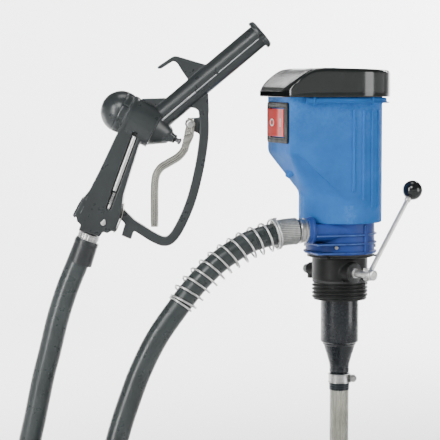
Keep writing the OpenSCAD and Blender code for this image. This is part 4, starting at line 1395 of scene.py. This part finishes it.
def small_pieces():
    profile = [
        (0, -9.6), (3, -9.6), (3.8, -9.2), (3.9, -8.6), (2.45, -8.4), (2.45, 8.4), (3.9, 8.6),
        (3.8, 9.2), (3, 9.6), (0.9, 9.75), (0, 9.5),
    ]
    turned_piece("pivot_rivet", "nozzle", M_STEEL, "trigger_pin", 30, profile, PIVOT, 40)
    profile = [
        (0, 12), (13.4, 12), (14, 12.6), (14, 15.4), (13.4, 16), (2.9, 16.1), (2.45, 16.6),
        (2.45, 69.6), (3.3, 70), (3.5, 70.6), (3.4, 72), (2.4, 72.9), (0, 73.1),
    ]
    turned_piece("valve_spindle", "valve", M_CORE, "valve_stem", 30, profile, VALVE, 44)
    b = Build()
    b.bar(helix(9.1, -16, 4.4, 5, 28), 0.75, VALVE, 8, (0.1, 0.2, 1), True)
    b.piece("cap_spring", "nozzle", M_STEEL, ("valve_spring",), 60)
    # latch rod in its channel
    profile = [
        (0, 0), (1.9, 0), (2.45, 0.5), (2.45, 5.6), (2.25, 5.9), (2.25, 6.4), (2.45, 6.7),
        (2.45, 62.6), (2, 63.6), (0, 64),
    ]
    at = grip_at(-7.6, -86.2, 1.6) @ rot(-90, "X")
    turned_piece("latch_bar", "latch", M_WIRE, "latch_rod", 30, profile, at, 28)
    # its coil spring and follower, and the drop-shaped stud below
    b = Build()
    at = grip_at(-13.4, -103.2, 2) @ rot(-90, "X")
    b.bar(helix(1.7, 0.2, 16.2, 7, 20), 0.42, at, 8, (0.1, 0.2, 1), True)
    b.bar([(0, 0, -1.9), (0, 0, 0), (0, 0, 1.2)], 1.5, at, 20, (1, 0, 0), True)
    drop = []
    for a in angles(28):
        r = 2.7 if sin(a) < 0 else 2.7 + 1.9 * sin(a) ** 6
        drop.append((r * cos(a) * (1 - 0.25 * max(sin(a), 0)), r * sin(a)))
    b.prism(drop, 0.02, 2.2, grip_at(-19.9, -121.4, lean=-20), 0.7, 3)
    b.piece("latch_coil", "nozzle", M_WIRE, ("latch_spring",), 40)


def swivel_pieces():
    def crimped(r, z, a):
        if r > 11 and -8.4 < z < -2.2:
            return r - 0.45 * (1 - smoothstep(0.05, 0.16, abs(((a * 14 / TAU) % 1) - 0.5)))
        return r

    profile = [
        (8, -7.15), (8, -1.25), (11.2, -1.25), (11.75, -1.7), (11.75, -2.3), (11.45, -2.7),
        (11.45, -3.2), (11.75, -3.6), (11.75, -7.2), (11.4, -7.5), (11.4, -8), (11.75, -8.3),
        (11.7, -8.9), (11.2, -9.15), (6, -9.15), (6, -7.2),
    ]
    turned_piece("swivel_ring", "pump", M_ALU, "swivel_ferrule", 28, profile, SWIVEL, 112, crimped)
    profile = [
        (12.6, -36.3), (13.5, -36.25), (13.9, -35.8), (13.95, -35), (13.3, -14.4), (13.55, -14),
        (13.55, -10.4), (13.2, -9.6), (12.7, -9.35), (12.6, -9.3),
    ]
    turned_piece("rubber_cuff", "pump", M_CUFF, "hose_cuff", 30, profile, SWIVEL)


# pale metal for the spout's seam ridges: a painted highlight streak
M_SEAM_HIGHLIGHT = metal("seam_highlight_metal", (0.5, 0.51, 0.52), 0.3, (1, 1, 6))
M_CUFF = rubber("cuff_rubber", (0.012, 0.014, 0.015), 0.36, dust=0.1)
handle_pieces()
spout_piece()
guard_piece()
trigger_piece()
small_pieces()
swivel_pieces()

# ---- fittings and inner parts


def gland_piece():
    at = outward(33, 0, 185)

    def hexagon(r, z, a):
        if r > 8.2 and z < 54.3:
            half = pi / 6
            return min(9.4, 8.6 / cos((a % (2 * half)) - half))
        return r

    profile = [
        (3.5, 42.6), (5.7, 42.6), (5.7, 48.1), (8.8, 48.1), (9.4, 48.7), (9.4, 53.4), (8.8, 54),
        (7.3, 54.1), (7.3, 54.6), (7, 55), (7, 56), (6.6, 56.3), (6.6, 56.9), (6.9, 57.2),
        (6.9, 58), (6.4, 58.3), (6.4, 58.9), (6.6, 59.2), (5.9, 60), (3.5, 60),
    ]
    turned_piece("gland_nut", "pump", M_BLACK, "cable_gland", 28, profile, at, 72, hexagon)


def cover_screw_piece():
    b = Build()
    for x, y in ((-50, 50.5), (20, 48.5)):
        for s in (-1, 1):
            at = move(x, s * y, 203.85) @ rot(180, "X")
            screw(b, at, 2.4, 1.7)
            b.lathe([(0, -0.4), (1.2, -0.4), (1.2, -7), (0, -7)], at, 20)
    b.piece("cover_screw_set", "pump", M_BLUE, ("cover_screws",), 30)


def dress(names, mat, bevel=0.25):
    """A material and softened edges for nodes carried over as they are."""
    for name in names.split():
        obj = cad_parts[name]
        obj.data.materials.clear()
        obj.data.materials.append(mat)
        if bevel:
            wide = {"width": bevel * MM, "segments": 2}
            modify(obj, "edge", "BEVEL", limit_method="ANGLE", angle_limit=radians(38), **wide)


def windings():
    m = Nodes("field_copper")
    turns = m.wave(95, 2)
    base = m.blend(m.ramp(turns, 0.1, 0.9), (0.2, 0.055, 0.02), (0.62, 0.25, 0.1))
    m.set(color=base, metal=0.85, rough=m.ramp(m.noise(90, 4), 0.3, 0.7, 0.25, 0.42))
    return m.bumped([(turns, 0.7, 0.4), (m.noise(700, 2), 0.1, 0.05)])


def laminated():
    m = Nodes("laminated_core")
    sheets = m.wave(320, 0.3)
    base = m.blend(m.ramp(sheets, 0.2, 0.8), (0.13, 0.13, 0.135), (0.3, 0.3, 0.31))
    m.set(color=base, metal=0.9, rough=m.ramp(m.noise(60, 4), 0.3, 0.7, 0.38, 0.55))
    return m.bumped([(sheets, 0.6, 0.15), (m.noise(900, 2), 0.1, 0.05)])


def segments():
    m = Nodes("commutator_bars")
    axes = m.axes()
    turn = m.math("ARCTAN2", axes["Y"], axes["X"])
    bars = m.math("SINE", m.times(turn, 24))
    base = m.blend(m.ramp(bars, 0.8, 0.9), (0.66, 0.33, 0.16), (0.03, 0.02, 0.015))
    base = m.blend(m.ramp(m.noise(160, 5, 0.7), 0.5, 0.66, 0, 0.4), base, (0.3, 0.16, 0.08))
    m.set(color=base, metal=0.9, rough=m.ramp(m.noise(240, 4), 0.3, 0.7, 0.22, 0.4))
    return m.bumped([(bars, 0.4, 0.2), (m.noise(900, 2), 0.1, 0.04)])


gland_piece()
cover_screw_piece()
dress("switch_body bearing_bridge cooling_fan", M_BLACK)
dress("stator_core rotor_core", laminated(), 0)
dress("field_coils", windings(), 0.6)
dress("commutator", segments())
dress("brush_holders impeller", M_BRASS)
dress("upper_bearing lower_bearing motor_shaft inner_arm piston_rod check_ball", M_CORE)
dress("shaft_bushes", M_CORE)
dress("shaft_seal head_gasket bung_seal piston_cup", M_RUBBER, 0.15)
dress("priming_piston", M_PTFE)

# ---- floor and lights


def add_stage():
    """A pale floor that runs up into a backdrop without an edge."""
    depth, near, rise, wide, bend = 3.2, -3.6, 1.15, 6, 0.9
    curve = [pi / 2 * i / 16 for i in range(17)]
    profile = [(near, 0)]
    profile += [(depth - bend + bend * sin(a), bend * (1 - cos(a))) for a in curve]
    profile.append((depth, rise))
    verts, faces = [], []
    for y, z in profile:
        verts += [(-wide, y, z), (wide, y, z)]
    for i in range(len(profile) - 1):
        faces.append([2 * i, 2 * i + 1, 2 * i + 3, 2 * i + 2])
    mesh = bpy.data.meshes.new("floor")
    mesh.from_pydata(verts, [], faces)
    soften(mesh, 60)
    obj = shown("floor", mesh)
    obj.location = (0, 0, FLOOR_Z * MM)
    obj.rotation_euler = (0, 0, VIEW_AZ)
    m = Nodes("floor_pale")
    patches = m.ramp(m.noise(3, 2), 0.3, 0.7)
    m.set(color=m.blend(patches, (0.895, 0.895, 0.895), (0.91, 0.91, 0.91)), rough=0.85)
    mesh.materials.append(m.mat)


def add_world(low, high):
    """Bright round the horizon, dimmer overhead."""
    world = bpy.data.worlds.new("studio")
    world.use_nodes = True
    tree = world.node_tree
    back = tree.nodes["Background"]
    back.inputs["Color"].default_value = (1, 1, 1, 1)
    way = tree.nodes.new("ShaderNodeTexCoord")
    split = tree.nodes.new("ShaderNodeSeparateXYZ")
    height = tree.nodes.new("ShaderNodeMapRange")
    height.interpolation_type = "SMOOTHSTEP"
    tree.links.new(way.outputs["Generated"], split.inputs[0])
    tree.links.new(split.outputs["Z"], height.inputs["Value"])
    for key, value in zip(("From Min", "From Max", "To Min", "To Max"), (0.06, 0.26, low, high)):
        height.inputs[key].default_value = value
    tree.links.new(height.outputs[0], back.inputs["Strength"])
    bpy.context.scene.world = world


add_stage()
add_world(1.1, 0.16)
add_light("key", (-1.3, -1.7, 1.7), (-0.1, 0, 0.05), (0.9, 0.9), 30)
add_light("left_strip", (-1.7, -0.8, 0.55), (-0.05, 0, 0.05), (0.3, 1.3), 25)
add_light("right_strip", (1.5, -1.32, 0.2), (0, 0, 0.05), (0.8, 1.3), 21)
add_light("top", (-0.1, 0.2, 1.9), (-0.1, 0, 0), (0.9, 0.6), 8)
add_light("back_left", (-1.6, 1.3, 1.2), (-0.9, 3.2, 0), (2, 0.8), 205)
add_light("back_right", (1.9, 1.5, 1.2), (0.9, 3.2, 0), (2, 0.8), 205)
add_light("over_back", (0.1, 1.7, 0.82), (-0.05, 0, 0.23), (1.3, 0.42), 0.24)
add_light("over_streak", (0.1, 1.66, 0.8), (-0.05, 0, 0.23), (0.7, 0.04), 0.45)
